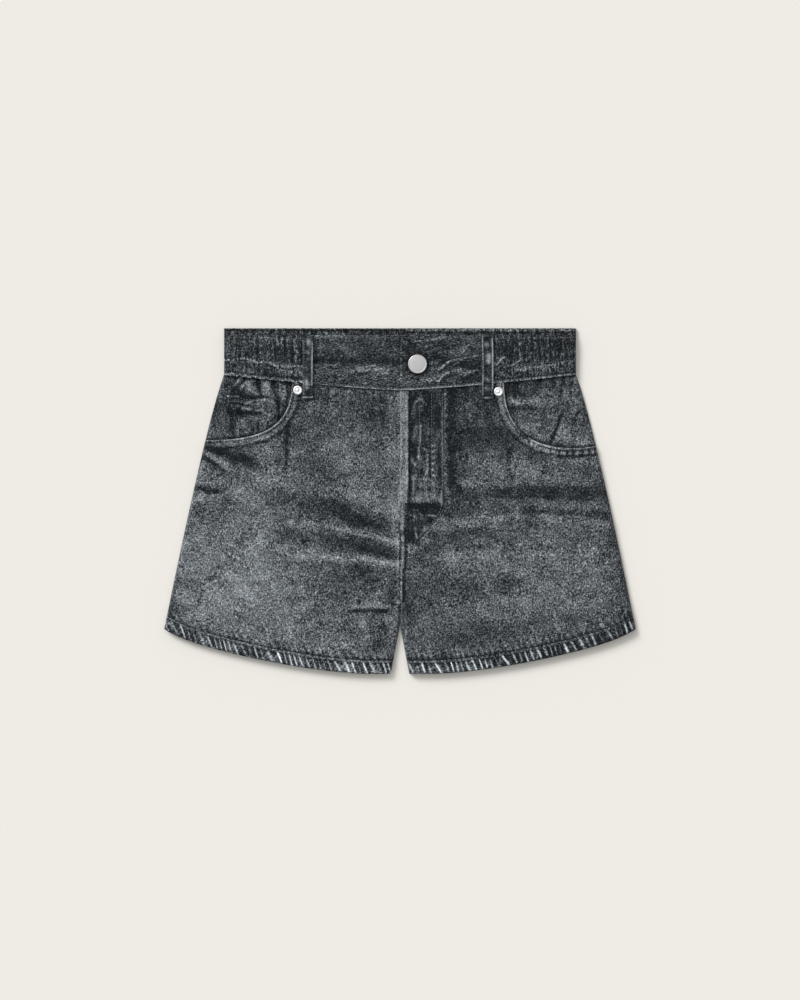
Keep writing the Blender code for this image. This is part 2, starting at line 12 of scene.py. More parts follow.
import bpy
import numpy as np
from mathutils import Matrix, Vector


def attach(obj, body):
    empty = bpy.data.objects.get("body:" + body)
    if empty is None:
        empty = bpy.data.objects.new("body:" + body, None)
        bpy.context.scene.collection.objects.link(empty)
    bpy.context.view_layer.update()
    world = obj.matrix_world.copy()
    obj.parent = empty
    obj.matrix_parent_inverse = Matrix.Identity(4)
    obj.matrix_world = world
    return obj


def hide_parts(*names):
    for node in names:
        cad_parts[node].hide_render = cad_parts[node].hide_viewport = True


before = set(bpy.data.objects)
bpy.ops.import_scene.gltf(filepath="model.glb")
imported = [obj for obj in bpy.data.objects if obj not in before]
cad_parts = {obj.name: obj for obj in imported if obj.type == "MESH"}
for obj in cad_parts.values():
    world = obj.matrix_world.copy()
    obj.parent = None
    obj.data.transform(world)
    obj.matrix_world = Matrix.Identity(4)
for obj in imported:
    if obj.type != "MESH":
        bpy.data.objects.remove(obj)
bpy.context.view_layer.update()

MM = 0.001
BODY = "root"
SIDES = {-1: "right", 1: "left"}

# Outline, as in the solids
WAIST_HALF = 176.0
HEM_HALF = 236.0
WAIST_TOP = 173.0
FRONT_TOP = 166.0
SEAM_SIDE = 126.0
SEAM_MIDDLE = 110.5
BACK_SEAM = 128.0
CROTCH = -123.0
HEM_LOW = -173.0
HEM_ROUND = 39.0
HEM_CORNER = 6.0
HEM_DEEP = 13.5
BACK_HEM_SHORT = 0.7
LEG_GAP = 18.4
SIDE_CURVE = 0.85
SEAM_CURVE = 1.3
HEM_STRAIGHT = 30.0
HEM_CURVE = 1.6
CORNER_CURVE = 12
INSEAM_CURVE = 1.1

# Cloth, as in the solids
CLOTH = 1.3
GAP = 0.3
TURNED = 2.6
BAND = 2.4
BACK_BAND = 3.4
COIN_CLOTH = 1.0
LOOP_CLOTH = 2.2
LOFT = 6.0
WAIST_LIFT = 0.5
WAIST_LIFT_FROM = 78.0
WAIST_LIFT_RUN = 34.0
HEM_LIFT = 0.4
HEM_LIFT_FROM = 42.0
HEM_LIFT_RUN = 30.0
SEAM_DIP = 0.5
SEAM_DIP_WIDTH = 3.0
CROTCH_RUN = 16.0
HEM_TOP = 7.2
BAND_TOP = 7.9
OVERLAP_LIFT = 0.8
EDGE_ROLL = 5.0
BAND_ROLL = 6.0
FOLDED_EDGE = 0.8
FOLDED_WIDTH = 6.8
FOLDED_STEP = 1.8
GATHER = 0.9
BACK_GATHER = 0.45
EDGE_WAVE = 0.08
SIDE_GATHERS = 15
BACK_GATHERS = 42
HEM_PITCH = 6.3
HEM_SLANT = 0.4
HEM_PUCKER = 0.45
ELASTIC_START = {-1: 92.0, 1: 88.0}
POCKET_CURVE = {
    -1: ((108.0, 116.4), (110.0, 78.0), (131.0, 60.0)),
    1: ((104.0, 116.8), (104.5, 70.0), (135.0, 45.0)),
}
POCKET_END = {-1: 61.0, 1: 55.0}
POCKET_UNDERLAP = 8.0
FACING_DROP = 0.5
FACING_DIP = 0.6
FACING_DIP_RUN = 4.0
FACING_SIDE_GAP = 1.2
BUTTON_PLACE = (17.5, 136.7)
RIVET_PLACE = {-1: (102.2, 110.8), 1: (98.4, 109.3)}
LOOP_SPAN = {-1: (87.0, 97.2), 1: (81.8, 93.2)}
LOOP_TOP = 164.5
LOOP_FOOT = 102.0

# Lines of stitches: how far in from an edge or seam they run
POCKET_STITCHES = (1.9, 6.0)
HEM_STITCH = 2.0
BAND_STITCH = 2.4
BAND_TOP_STITCH = 3.0
FLY_STITCHES = (19.5, 31.5, 43.0)
COIN_STITCHES = (1.6, 6.2)

Stroke = namedtuple("Stroke", "start_x start_y end_x end_y spread change bow", defaults=(0,))
Line = namedtuple("Line", "width change points")
Trace = namedtuple("Trace", "change place width")
Swell = namedtuple("Swell", "height length seed stretch", defaults=(1.0,))


def stroke_table(*rows):
    """Soft strokes of the whole garment, each from one place to another and bowed at its middle."""
    return [Stroke(*row) for row in rows]


def line_table(*rows):
    """Fine lines from rows of a width, a change, and then the x and y of each point in turn."""
    return [Line(width, change, list(zip(places[::2], places[1::2]))) for width, change, *places in rows]


# Soft ridges and troughs of the front, seen from above: these are in the solids too
FOLDS = stroke_table(
    # the leg on the wearer's right
    (-118, 26, -12, -14, 9, 0.9, 8), (-108, 6, -24, -26, 8, -1.3, 3), (-106, -22, -8, -40, 6.5, 1.5, 4),
    (-110, -35, -8, -53, 6, -1.1, 3), (-100, -56, -6, -66, 6.5, 1.4, 2), (-66, -80, -44, -84, 14, -0.8),
    (-6, -88, -24, -140, 7, -0.8, -3), (-194, 50, -168, 30, 5, 1.3), (-196, 40, -172, 22, 5, -1),
    (-198, 2, -176, 8, 6, 0.9), (-196, -92, -150, -40, 9, -0.7, 3), (-113, 74, -115, 24, 5, -0.6),
    # the leg on the wearer's left
    (50, 104, 53, -8, 6, -0.8), (112, 50, 111, 2, 5, -0.6), (84, 6, 200, 8, 7, -1.2, 3),
    (128, -10, 204, -13, 6, -0.7), (42, -28, 200, -24, 7, 1.5, 9), (60, -52, 196, -58, 9, 0.7, 4),
    (30, -99, 108, -86, 9, -0.8, 3),
)
# Fine creases, which only this scene has
CREASES = stroke_table(
    # fine creases, which only this scene has
    (-44, -106, -14, -106, 2.2, 0.35, 1), (-44, -110, -14, -110, 2, -0.45, 1),
    (-202, 12, -182, 9, 3, -0.7, 2), (-60, -30, -4, -42, 2.6, 0.3, 2),
    (-64, -58, -4, -64, 2.6, 0.35, 1.5), (-196, 51, -174, 33, 2.4, 0.4, 1),
    (-197, 43, -174, 30, 2.2, -0.5), (-42, 66, -10, 58, 6, 0.25, 2), (44, -2, 200, -4, 2.8, 0.3, 2),
    (60, 70, 66, 34, 5, -0.3), (150, -70, 190, -96, 8, 0.35, 3), (20, -60, 70, -70, 6, -0.3, 2),
)
# Where the cloth is lighter or darker than its base tone: marks of the wash and, along the folds, partly
# painted shade in the troughs and painted light on the ridges
WASH_AND_SHADE = stroke_table(
    # broad areas
    (-190, -90, -130, -75, 46, 24), (-150, 20, -60, 44, 34, 10), (-112, 100, -66, 26, 26, -24, -4),
    (-34, 108, -26, 66, 20, -16), (-190, 26, -186, -14, 16, -16), (-90, -62, -20, -72, 22, -20),
    (-224, -96, -206, -128, 20, -20), (-160, -134, -110, -142, 12, -10), (-185, -62, -150, -44, 8, 12),
    (60, 116, 84, 96, 17, -30), (64, 40, 68, -34, 26, -22), (20, -22, 40, -70, 16, -14),
    (90, 86, 180, 30, 18, -14), (132, 68, 140, 66, 12, 26), (160, 46, 198, 44, 10, 16),
    (74, 16, 112, 12, 8, 18), (110, -34, 190, -36, 12, -4), (140, -102, 170, -102, 14, 10),
    (222, -40, 232, -120, 18, -16), (60, -130, 80, -140, 20, -6), (6, -80, 10, -150, 18, -10),
    # dark bands and light ridges along the folds of the leg on the wearer's right: partly wash, partly
    # painted shade and light
    (-116, 4, -23, -24, 11, -40, 5), (-107, -22, -4, -40, 5, 20, 4), (-110, -35, -10, -52, 8, -36, 3),
    (-103, -56, -3, -64, 5, 22, 2), (-60, -80, -48, -80, 20, -10), (-44, -110, -14, -110, 2.5, -26, 1),
    (-44, -106, -14, -106, 2.5, 16, 1), (-3, -86, -20, -139, 6, -24, -3), (-195, 55, -147, 37, 8, -34),
    (-196, 51, -172, 31, 3, 30), (-197, 44, -173, 30, 3, -26), (-202, 13, -183, 9, 4, -36),
    (-200, 4, -184, 6, 4, 16), (-200, -96, -153, -42, 8, -10, 3),
    # and of the leg on the wearer's left
    (80, 9, 203, 8, 8, -32), (90, -2, 203, -2, 4, 8), (130, -9, 205, -13, 6, -28),
    (40, -26, 200, -24, 6, 22, 9), (104, -87, 108, -87, 9, -18), (70, 68, 110, 58, 10, -10),
    (80, 36, 200, 21, 9, 14), (51.5, 112, 52, 24, 7, -36), (54, 24, 57, 0, 5, -20),
    (48, 12, 48, 4, 4.5, 12),
    # patches of the leg on the wearer's right
    (-109, -20, -103, -21, 5, -24), (-12, -40, -12, -90, 7, 8), (-3, -46, -2, -104, 3.5, 22),
    (-76, 98, -74, 90, 9, -8), (-70, 68, -66, 62, 8, -12), (-164, 50, -158, 42, 8, -9),
    (-90, 30, -78, 26, 8, -12), (-26, 92, -22, 84, 7, -10), (-231, -100, -235, -130, 7, -16),
    (-98, -130, -92, -142, 7, 9), (-110, -66, -50, -92, 11, -8), (-80, 112, -40, 96, 9, -9),
    (-118, 84, -112, 52, 8, -10), (-30, 90, -8, 76, 8, -8), (-60, 14, -8, -12, 9, 10),
    (-142, 40, -132, 20, 9, 10), (-204, 18, -196, 10, 6, 12), (-216, -92, -206, -132, 9, 20),
    (-120, 16, -50, -6, 7, 9), (-194, -16, -184, -24, 7, -8), (-178, 49, -152, 42, 4.5, -20),
    (-157, 45, -152, 37, 4, -12), (-198, 26, -190, 14, 8, 12), (-80, -20, -20, -34, 9, -10),
    (-52, -54, -30, -74, 8, -8), (-56, 4, -4, 0, 6, 9), (-100, 70, -70, 74, 9, -7),
    (-104, 34, -84, 26, 8, -8), (-70, -100, -30, -150, 10, -6), (-166, -150, -120, -160, 6, -6),
    (-92, 110, -62, 98, 12, -17), (-22, 112, -13, 84, 9, -16), (-46, 74, -35, 70, 9, -14),
    (-118, 76, -142, 54, 8, -15), (-117, 40, -113, 30, 7, -16), (-165, 30, -175, 8, 8, -12),
    (-62, 50, -52, 22, 11, 15), (-100, 12, -78, 10, 6, 12), (-112, -16, -40, -26, 6, -22, 2),
    (-200, -38, -160, -25, 9, 14), (-4, -10, -3, -30, 4.5, 26), (-70, -44, -35, -50, 8, -10),
    (-56, -88, -82, -112, 9, -18), (-226, -86, -232, -115, 8, -18), (-165, -60, -205, -86, 5, -12),
    (-156, -88, -148, -78, 9, 15), (-184, -104, -176, -98, 10, 10), (-136, -132, -92, -146, 10, 14),
    (-212, -126, -172, -136, 7, 10),
    # and of the leg on the wearer's left
    (100, -17, 109, -19, 5, -20), (92, 58, 98, 52, 8, -10), (106, 34, 112, 26, 8, -8),
    (46, -146, 104, -140, 8, -9), (60, -60, 90, -90, 11, 9), (206, -20, 232, -128, 8, -14),
    (118, 4.5, 150, 3.5, 2.6, -18), (150, 2.5, 190, 2, 3.4, -26), (118, -6.8, 184, -7.6, 3, 24),
    (118, 11, 204, 10, 5, -9), (184, -1, 206, -2, 4, -14), (42, 7, 50, 4, 4, 8),
    (46, -2, 48, -12, 5, -18), (29, -47, 38, -48, 4, -22), (40, -152, 70, -158, 6, -8),
    (66, -84, 100, -98, 8, -10), (104, 50, 160, 40, 8, -9), (108, 6, 106, -70, 7, -10),
    (20, -140, 150, -138, 8, -7), (70, 18, 86, 8, 7, 12), (96, 90, 106, 80, 7, 9),
    (150, -50, 214, -60, 10, 6), (6, -90, 8, -120, 5, -12), (56, 96, 58, 60, 6, -10),
    (30, -24, 40, -34, 8, -8), (46, -50, 56, -90, 7, 8), (58, 62, 112, 64, 10, -20),
    (66, 30, 60, 4, 10, -8), (97, 0, 124, -12, 11, -27), (160, -14, 180, -20, 8, -24),
    (130, 22, 200, 30, 12, -12), (168, 56, 186, 40, 10, -12), (72, 13, 78, 10, 8, 16),
    (24, -26, 46, -34, 10, -13), (58, -56, 98, -62, 11, 16), (16, -98, 74, -90, 12, -12),
    (4, -104, 20, -108, 8, -10), (50, -132, 172, -126, 10, -18), (140, -114, 196, -116, 9, -10),
)
LEG_LINES = line_table(
    # creases at the side of the wearer's right leg
    (2.6, -34, -196, 53, -188, 51, -181, 48), (1.2, 20, -195, 51, -183, 43.4, -172, 36),
    (1.2, -34, -193, 43, -182, 36, -175, 29), (1.8, -60, -196, 11.4, -191, 8.2, -184, 9.4),
    (2.4, 16, -206, 0, -190, 4, -158, 12), (1.5, -18, -112, 80, -114, 60, -113, 36),
    (0.9, -40, -113.4, 71, -113.1, 56, -113.8, 39),
    # ends of the folds by its inseam
    (1.9, 18, -52, -31, -28, -36, -3, -42), (2.2, -22, -40, -46, -26, -51, -10, -56),
    (1.6, 28, -42, -54, -20, -60, -3, -64), (1.3, -26, -51, -110.6, -34, -111, -15, -110.4),
    (1.2, 16, -48, -106, -34, -105, -17, -107),
    # the middle seam below the fly
    (1.2, 72, 2.8, -30, 2.6, -60, 1.3, -70, 1.2, -96), (1.5, -50, 5.9, -34, 5.9, -60, 4, -70, 3.8, -100),
    (1, 44, -1.9, -34, -1.9, -92), (1, 34, 9, -40, 8.8, -62), (1, 18, 6.6, -66, 6.6, -90),
    # the light line from 41.4, -9 to 20.5, -40 is painted light beside the fly's lower edge, lessening the
    # shade that edge casts
    (2.6, -44, 17, -36, 18.6, -42), (1.3, 26, 41.4, -9, 36, -18, 28, -31, 20.5, -40),
    (1.4, 34, 2.6, -36, 2.6, -39), (1.5, 36, 8.6, -43, 9.6, -45), (1.8, 30, 9, -49, 11.4, -52),
    (1.5, 26, 16, -47, 17.4, -49), (1.7, 24, 25, -40, 29, -38), (1.2, -30, 14.5, -41, 18, -45),
    # a light line just beside the fly
    (1.2, 30, 45.2, 110, 44.8, 62, 45.6, 50, 44.6, 24),
    # the fold in the cloth beyond the wearer's left pocket
    (2, -26, 109.5, 52, 110, 18), (2, -26, 117.5, 75, 123, 68, 129.5, 62),
    # beads and blocks along the wearer's left pocket
    (1.5, 92, 126, 60.6, 126.7, 60.2), (1.6, 92, 130.7, 57.7, 131.4, 57.4),
    (1.4, 70, 135.2, 55.3, 135.9, 55.1), (1.2, 50, 139.6, 53.4, 140.3, 53.1),
    (1.2, 40, 147.4, 49.5, 148, 49.2), (1.4, -40, 121, 66, 126, 63), (1.2, -60, 141.4, 51, 142, 48),
    (1, -70, 128.6, 58.8, 129, 59.6), (1, -70, 133.2, 56.3, 133.6, 57), (1, -60, 137.7, 54.2, 138, 54.8),
    (1.2, -50, 150.5, 51.6, 150.8, 47), (1.2, -84, 159.4, 50.4, 159.2, 45.6),
    (1.2, -84, 167.4, 49.6, 167, 45), (1.5, -84, 173.2, 50, 173.6, 45.2),
    (1.3, -84, 182.9, 51, 182.4, 45.4), (1.2, -84, 189.2, 52.4, 189.4, 46),
    (1.2, -70, 195, 53.6, 195.4, 47), (0.9, -46, 158, 45.2, 175, 44.6, 196, 46),
    # and along the wearer's right
    (1.3, 46, -114.6, 77.6, -115.2, 76.8), (1.4, 46, -117, 73.8, -118.4, 72.6),
    (1.3, 46, -123, 69.6, -124.2, 69), (1.2, 40, -127.4, 66.6, -128.4, 66.2),
    (1.4, 46, -131.6, 64.4, -132.6, 64), (1.3, 40, -136.4, 62.8, -137.4, 62.5),
    (1.3, 34, -142, 61.2, -143, 61), (1.6, -46, -111, 76, -113.4, 71.6),
    (1.4, -44, -118.6, 68, -122, 65.6), (1.4, -40, -132, 59.6, -137, 58.4),
    (1.3, -46, -182.6, 59.8, -178, 59.6), (0.9, 30, -190, 56.8, -178, 56.6),
)
WEAR_AND_SHADE = 42.0             # how much lighter a ridge is, and a trough darker, for each millimetre that it stands out or sinks: partly wear, partly painted light and shade of the folds

# The darkest tone that a piece's creases reach
DARKEST = 26.0
DARKEST_FLY = 28.0
DARKEST_LOOP = 30.0
DARKEST_GATHERS = 24.0
DARKEST_BACK = 22.0

# Base tones
LEG_TONE = 89.0
FACING_TONE = 71.5
PLAIN_TONE = 60.0
GATHERED_TONE = 54.0
BACK_BAND_TONE = 56.0
FLY_TONE = 50.0
STRIP_TONE = 59.0       # what the strip beside the fly adds
LOOP_TONE = 48.0
HEM_TONE = 23.0

BandRow = namedtuple("BandRow", "share lift gathers")
GATHERED_ROWS = (
    BandRow(0.0, -0.6, 0.3),
    BandRow(0.1, 0.0, 0.45),
    BandRow(0.36, -0.3, 0.35),
    BandRow(0.5, 0.3, 0.9),
    BandRow(0.9, 0.3, 1.0),
    BandRow(1.0, -0.4, 0.8),
)


# Numbers


def mix(first, last, share):
    return first + (last - first) * share


def ease(value):
    value = np.clip(value, 0.0, 1.0)
    return value * value * (3.0 - 2.0 * value)


def bell(distance, width):
    return np.exp(-((distance / width) ** 2))


def ripple(x, y, length, seed, stretch=1.0):
    """A smooth uneven field of about -1 to 1, with swells some length apart.

    Stretched, the swells are longer along y.
    """
    draw = np.random.default_rng(seed)
    total = 0.0
    for _ in range(9):
        angle, phase, pace = (draw.uniform(*span) for span in ((0, math.tau), (0, math.tau), (0.7, 1.4)))
        run = x * math.cos(angle) + y * math.sin(angle) / stretch
        total = total + np.sin(math.tau * pace / length * run + phase)
    return total / 3.0


def swells(table, x, y):
    """Sum of uneven fields, each with its own height, length, seed and stretch."""
    return sum(row.height * ripple(x, y, row.length, row.seed, row.stretch) for row in table)


def rise(value, start, end):
    """Runs smoothly from 0 at a start to 1 at an end, which may lie below the start."""
    return ease((value - start) / (end - start))


def traces(table, distance):
    """Sum of soft lines, each at its own place along a distance."""
    return sum(row.change * bell(distance - row.place, row.width) for row in table)


def uneven_sine(x, pace, drift, length):
    """A sine of about even pace, whose phase drifts to and fro over a length."""
    return np.sin(pace * x + drift * np.sin(x / length))


def from_run(x, y, start_x, start_y, end_x, end_y):
    """Where points lie from a straight run: the share along it, and how far beside it and past its ends."""
    run_x, run_y = end_x - start_x, end_y - start_y
    step_x, step_y = x - start_x, y - start_y
    length = math.hypot(run_x, run_y)
    along = (step_x * run_x + step_y * run_y) / length**2
    inside = np.clip(along, 0.0, 1.0)
    return inside, (step_y * run_x - step_x * run_y) / length, (along - inside) * length


def strokes(table, x, y):
    """Sum of soft strokes at points of the whole garment. Their ends fade more slowly than their sides."""
    total = 0.0
    for *ends, spread, change, bow in table:
        inside, across, past = from_run(x, y, *ends)
        bowed = across - bow * 4.0 * inside * (1.0 - inside)
        total = total + change * bell(np.hypot(bowed, past / 2.0), spread)
    return total


def lines(table, x, y):
    """Sum of fine lines at points of the whole garment, each along a run of points."""
    total = 0.0
    for width, change, points in table:
        runs = (from_run(x, y, *first, *last)[1:] for first, last in zip(points, points[1:]))
        total = total + change * bell(np.min([np.hypot(*gaps) for gaps in runs], axis=0), width)
    return total


def drawn(tone, wash, fine, side, x, y, darkest):
    """A tone with its strokes and fine lines added, and nowhere darker than the darkest."""
    return np.maximum(tone + strokes(wash, side * x, y) + lines(fine, side * x, y), darkest)


# Outline curves of one half


def waist_seam(x):
    return SEAM_MIDDLE + (SEAM_SIDE - SEAM_MIDDLE) * (np.maximum(x, 0.0) / WAIST_HALF) ** SEAM_CURVE


def hem_edge(x):
    out = np.maximum(x - HEM_STRAIGHT, 0.0) / (HEM_HALF - HEM_STRAIGHT)
    return HEM_LOW + HEM_ROUND * out**HEM_CURVE + HEM_CORNER * out**CORNER_CURVE


CORNER = float(hem_edge(HEM_HALF))


def side_seam(y):
    down = np.maximum(SEAM_SIDE - y, 0.0) / (SEAM_SIDE - CORNER)
    return WAIST_HALF + (HEM_HALF - WAIST_HALF) * down**SIDE_CURVE


def inseam(y):
    down = np.maximum(CROTCH - y, 0.0) / (CROTCH - HEM_LOW)
    return GAP / 2 + (LEG_GAP / 2) * down**INSEAM_CURVE


def hem_point(share, up):
    """A point on a hem: share runs from the inseam to the side, up from the lower edge."""
    low_x = mix(inseam(HEM_LOW), HEM_HALF, share)
    return mix(inseam(HEM_LOW + up), side_seam(CORNER + up), share), hem_edge(low_x) + up


def hem_seam(share):
    """Points on the seam above a hem, from the side to the inseam."""
    return hem_point(1.0 - share, HEM_DEEP + GAP)


def pocket_edge(side, share):
    """Points on the edge of a pocket opening, from the waist to the side seam."""
    points = (*POCKET_CURVE[side], (float(side_seam(POCKET_END[side])), POCKET_END[side]))
    rest = 1.0 - share
    weights = (rest**3, 3 * rest**2 * share, 3 * rest * share**2, share**3)
    return tuple(sum(weight * point[axis] for weight, point in zip(weights, points)) for axis in (0, 1))


POCKET_SAMPLES = {side: np.stack(pocket_edge(side, np.linspace(0, 1, 161)), -1) for side in SIDES}


def past_pocket_edge(side, x, y):
    """Distance from the edge of a pocket opening: positive on the front, negative on the facing."""
    samples = POCKET_SAMPLES[side]
    flat_x, flat_y = np.ravel(x), np.ravel(y)
    gaps = np.hypot(flat_x[:, None] - samples[:, 0], flat_y[:, None] - samples[:, 1])
    near = gaps.argmin(1)
    run = np.gradient(samples, axis=0)[near]
    outward = (flat_x - samples[near, 0]) * run[:, 1] - (flat_y - samples[near, 1]) * run[:, 0]
    return np.copysign(gaps.min(1), outward).reshape(np.shape(x))


# Heights


def inset(angle, depth, roll):
    return depth + (roll - depth) * (1.0 - np.cos(angle))


def turn(distance, depth, roll):
    """Share of its full height that a layer has reached at a distance from an edge."""
    reach = np.clip((roll - distance) / (roll - depth), 0.0, 1.0)
    return np.sqrt(1.0 - reach**2)


def rounded(distance, drop, roll):
    """How far the outer face of a layer drops towards an edge."""
    return drop * (1.0 - turn(distance, 0.0, roll))


def settle(x, y, top, depth, set_in, rim, roll):
    """Height of a layer that turns down to its rim at the side and, below the crotch, at the inseam."""
    parted = ease((CROTCH + CROTCH_RUN - y) / CROTCH_RUN)
    risen = turn(side_seam(y) - x, set_in, roll)
    risen = risen * mix(1.0, turn(x - inseam(y) + set_in * (1.0 - parted), set_in, roll), parted)
    return mix(rim, top - depth, risen)


def standing_out(height, x, y, reach):
    """How far a face stands out from its own surroundings."""
    around = sum(height(x + dx, y + dy) for dx, dy in ((reach, 0), (-reach, 0), (0, reach), (0, -reach)))
    return height(x, y) - around / 4.0


def loft(side, x, y):
    """Outer face of a front panel in its open field."""
    near_waist = ease((y - WAIST_LIFT_FROM) / WAIST_LIFT_RUN)
    near_hem = ease((hem_edge(x) + HEM_LIFT_FROM - y) / HEM_LIFT_RUN)
    seam_dip = SEAM_DIP * bell(x, SEAM_DIP_WIDTH)
    folds = strokes(FOLDS, side * x, y)
    return LOFT + WAIST_LIFT * near_waist + HEM_LIFT * near_hem - seam_dip + folds


def hem_phase(side, x, up):
    """Turns of the puckers along a hem, which lean the same way on both legs."""
    warp = 0.34 * np.sin(x / 13.0 + side) + 0.24 * np.sin(x / 5.3 + 2 * side)
    return (x + side * HEM_SLANT * up) / HEM_PITCH + warp


def crumple(side, x, y):
    """Small unevenness of the cloth, which only this scene has."""
    fine = 0.2 * ripple(side * x, y, 30.0, 11) + 0.09 * ripple(side * x, y, 12.0, 12)
    up = y - hem_edge(x)
    pulled = bell(up - HEM_DEEP, 9.0) * np.sin(math.tau * hem_phase(side, x, up))
    return strokes(CREASES, side * x, y) + fine + 0.28 * pulled


def front_face(side, x, y):
    """Outer face of a front, with the turned and stitched edge of its pocket opening."""
    edge = past_pocket_edge(side, x, y)
    raised = FOLDED_EDGE * (1.0 - ease((edge - FOLDED_WIDTH) / FOLDED_STEP))
    channels = sum(0.3 * bell(edge - place, 0.6) for place in POCKET_STITCHES)
    return loft(side, x, y) + crumple(side, x, y) + raised - channels - rounded(edge, 0.8, 1.2)


FACING_FOLDS = stroke_table(
    (161, 84, 150.5, 57, 2.2, -0.7), (-150, 116, -148, 110, 5, 0.5), (-143, 122, -139, 106, 2.2, -0.5),
    (-165, 113, -156, 121, 1.8, -0.4), (-133, 112, -130, 106, 4, 0.4),
)


def facing_gathers(side, x, y):
    """Puckers of a facing below the waist seam, dying out towards the pocket's edge."""
    clear = ease((-past_pocket_edge(side, x, y) - 2.0) / 8.0)
    down = waist_seam(x) - y
    high = np.sin(math.tau * (x / 11.0 + 0.3 * np.sin(x / 9.0) + side * down / 60.0))
    folds = strokes(FACING_FOLDS, side * x, y)
    swells = 0.25 * ripple(side * x, y, 16.0, 21 + side, 2.0)
    return clear * (0.45 * high * bell(down, 26.0) + swells + folds)


def facing_level(side, x, y):
    """The outer face that a facing would have at the front's level, dipping where the front covers it."""
    dip = FACING_DIP * ease(past_pocket_edge(side, x, y) / FACING_DIP_RUN)
    return loft(side, x, y) - dip


# Materials


def shader_tree(name):
    made = bpy.data.materials.new(name)
    made.use_nodes = True
    return made, made.node_tree, made.node_tree.nodes["Principled BSDF"]


def put(tree, kind, links=(), **values):
    """A node with its settings, its sockets' values and the outputs that feed it."""
    made = tree.nodes.new(kind)
    for name, value in values.items():
        if name.startswith("in_"):
            key = name[3:]
            made.inputs[int(key) if key.isdigit() else key.replace("_", " ")].default_value = value
        else:
            setattr(made, name, value)
    for key, output in dict(links).items():
        tree.links.new(output, made.inputs[key])
    return made


def calculator(tree):
    """A function that adds one step of arithmetic, on outputs or numbers, to a shader."""

    def calc(operation, *values):
        made = tree.nodes.new("ShaderNodeMath")
        made.operation = operation
        for socket, value in zip(made.inputs, values):
            if isinstance(value, (int, float)):
                socket.default_value = value
            else:
                tree.links.new(value, socket)
        return made.outputs[0]

    return calc


def pattern(tree, kind, per_mm, **values):
    """A texture in the object's own space, with so many swells or bands to a millimetre."""
    place = put(tree, "ShaderNodeTexCoord").outputs["Object"]
    scale = tuple(count / MM for count in per_mm)
    scaled = put(tree, "ShaderNodeMapping", {"Vector": place}, in_Scale=scale)
    return put(tree, kind, {"Vector": scaled.outputs[0]}, **values).outputs["Fac"]


DENIM_TINT = (0.925, 1.0, 1.062)
DENIM_COLD = (-0.0026, 0.0, 0.0016)
DENIM_SHINE = {"Roughness": 0.9, "Specular IOR Level": 0.2, "Sheen Weight": 0.08, "Sheen Roughness": 0.5}
# Blotches of the wash: width, length, share and detail
MOTTLE = ((6.5, 7.5, 0.78, 3.0), (20.0, 15.0, 1.0, 2.0))


def denim(name, grains, contrast):
    """Washed denim. Its two grains are streaks: width and length in millimetres, and their share."""
    made, tree, shader = shader_tree(name)
    calc = calculator(tree)

    def noise(width, length, share, detail=2.0):
        fac = pattern(tree, "ShaderNodeTexNoise", (1 / width, 1 / length, 1.0), in_Scale=1.0,
                      in_Detail=detail, in_Roughness=0.6)
        return calc("MULTIPLY", calc("SUBTRACT", fac, 0.5), share)

    grain = calc("ADD", *(noise(*row) for row in grains))
    mottle = calc("ADD", *(noise(*row) for row in MOTTLE))
    wave = pattern(tree, "ShaderNodeTexWave", (1.0, 1.0, 1.0), bands_direction="DIAGONAL",
                   in_Scale=0.42, in_Distortion=0.6, in_Detail=1.0)
    twill = calc("MULTIPLY", calc("SUBTRACT", wave, 0.5), 0.12)
    swing = calc("ADD", calc("ADD", calc("MULTIPLY", grain, contrast), mottle), twill)
    # The swing grows with the tone, and fades where the cloth is bleached
    tone = put(tree, "ShaderNodeAttribute", attribute_name="tone").outputs["Fac"]
    bleached = calc("MAXIMUM", calc("SUBTRACT", tone, 0.34), 0.0)
    quiet = calc("MAXIMUM", calc("SUBTRACT", 1.0, calc("MULTIPLY", bleached, 2.2)), 0.25)
    strength = calc("MULTIPLY", calc("MULTIPLY", calc("POWER", tone, 0.5), 0.6), quiet)
    level = calc("ADD", tone, calc("MULTIPLY", swing, strength))
    light = calc("POWER", calc("MAXIMUM", level, 0.05), 2.2)
    color = put(tree, "ShaderNodeVectorMath", {0: light}, operation="MULTIPLY", in_1=DENIM_TINT)
    cold = put(tree, "ShaderNodeVectorMath", {0: color.outputs[0]}, operation="ADD", in_1=DENIM_COLD)
    bump = put(tree, "ShaderNodeBump", {"Height": swing}, in_Strength=0.5, in_Distance=0.0004)
    tree.links.new(cold.outputs[0], shader.inputs["Base Color"])
    tree.links.new(bump.outputs[0], shader.inputs["Normal"])
    for socket, value in DENIM_SHINE.items():
        shader.inputs[socket].default_value = value
    return made


def plain_material(name, color, per_mm, unevenness, roughness, rough_swing, metallic, strength, depth):
    """A finish with a slight unevenness of colour and gloss, and a bump of a strength and depth."""
    made, tree, shader = shader_tree(name)
    calc = calculator(tree)
    fac = pattern(tree, "ShaderNodeTexNoise", per_mm, in_Scale=1.0, in_Detail=3.0)
    level = calc("ADD", calc("MULTIPLY", fac, unevenness), 1.0 - unevenness / 2)
    shade = put(tree, "ShaderNodeVectorMath", {0: level}, operation="MULTIPLY", in_1=color)
    bump = put(tree, "ShaderNodeBump", {"Height": fac}, in_Strength=strength, in_Distance=depth)
    tree.links.new(shade.outputs[0], shader.inputs["Base Color"])
    tree.links.new(bump.outputs[0], shader.inputs["Normal"])
    shader.inputs["Metallic"].default_value = metallic
    if rough_swing:
        rough = calc("ADD", calc("MULTIPLY", fac, rough_swing), roughness - rough_swing / 2)
        tree.links.new(rough, shader.inputs["Roughness"])
    else:
        shader.inputs["Roughness"].default_value = roughness
    return made


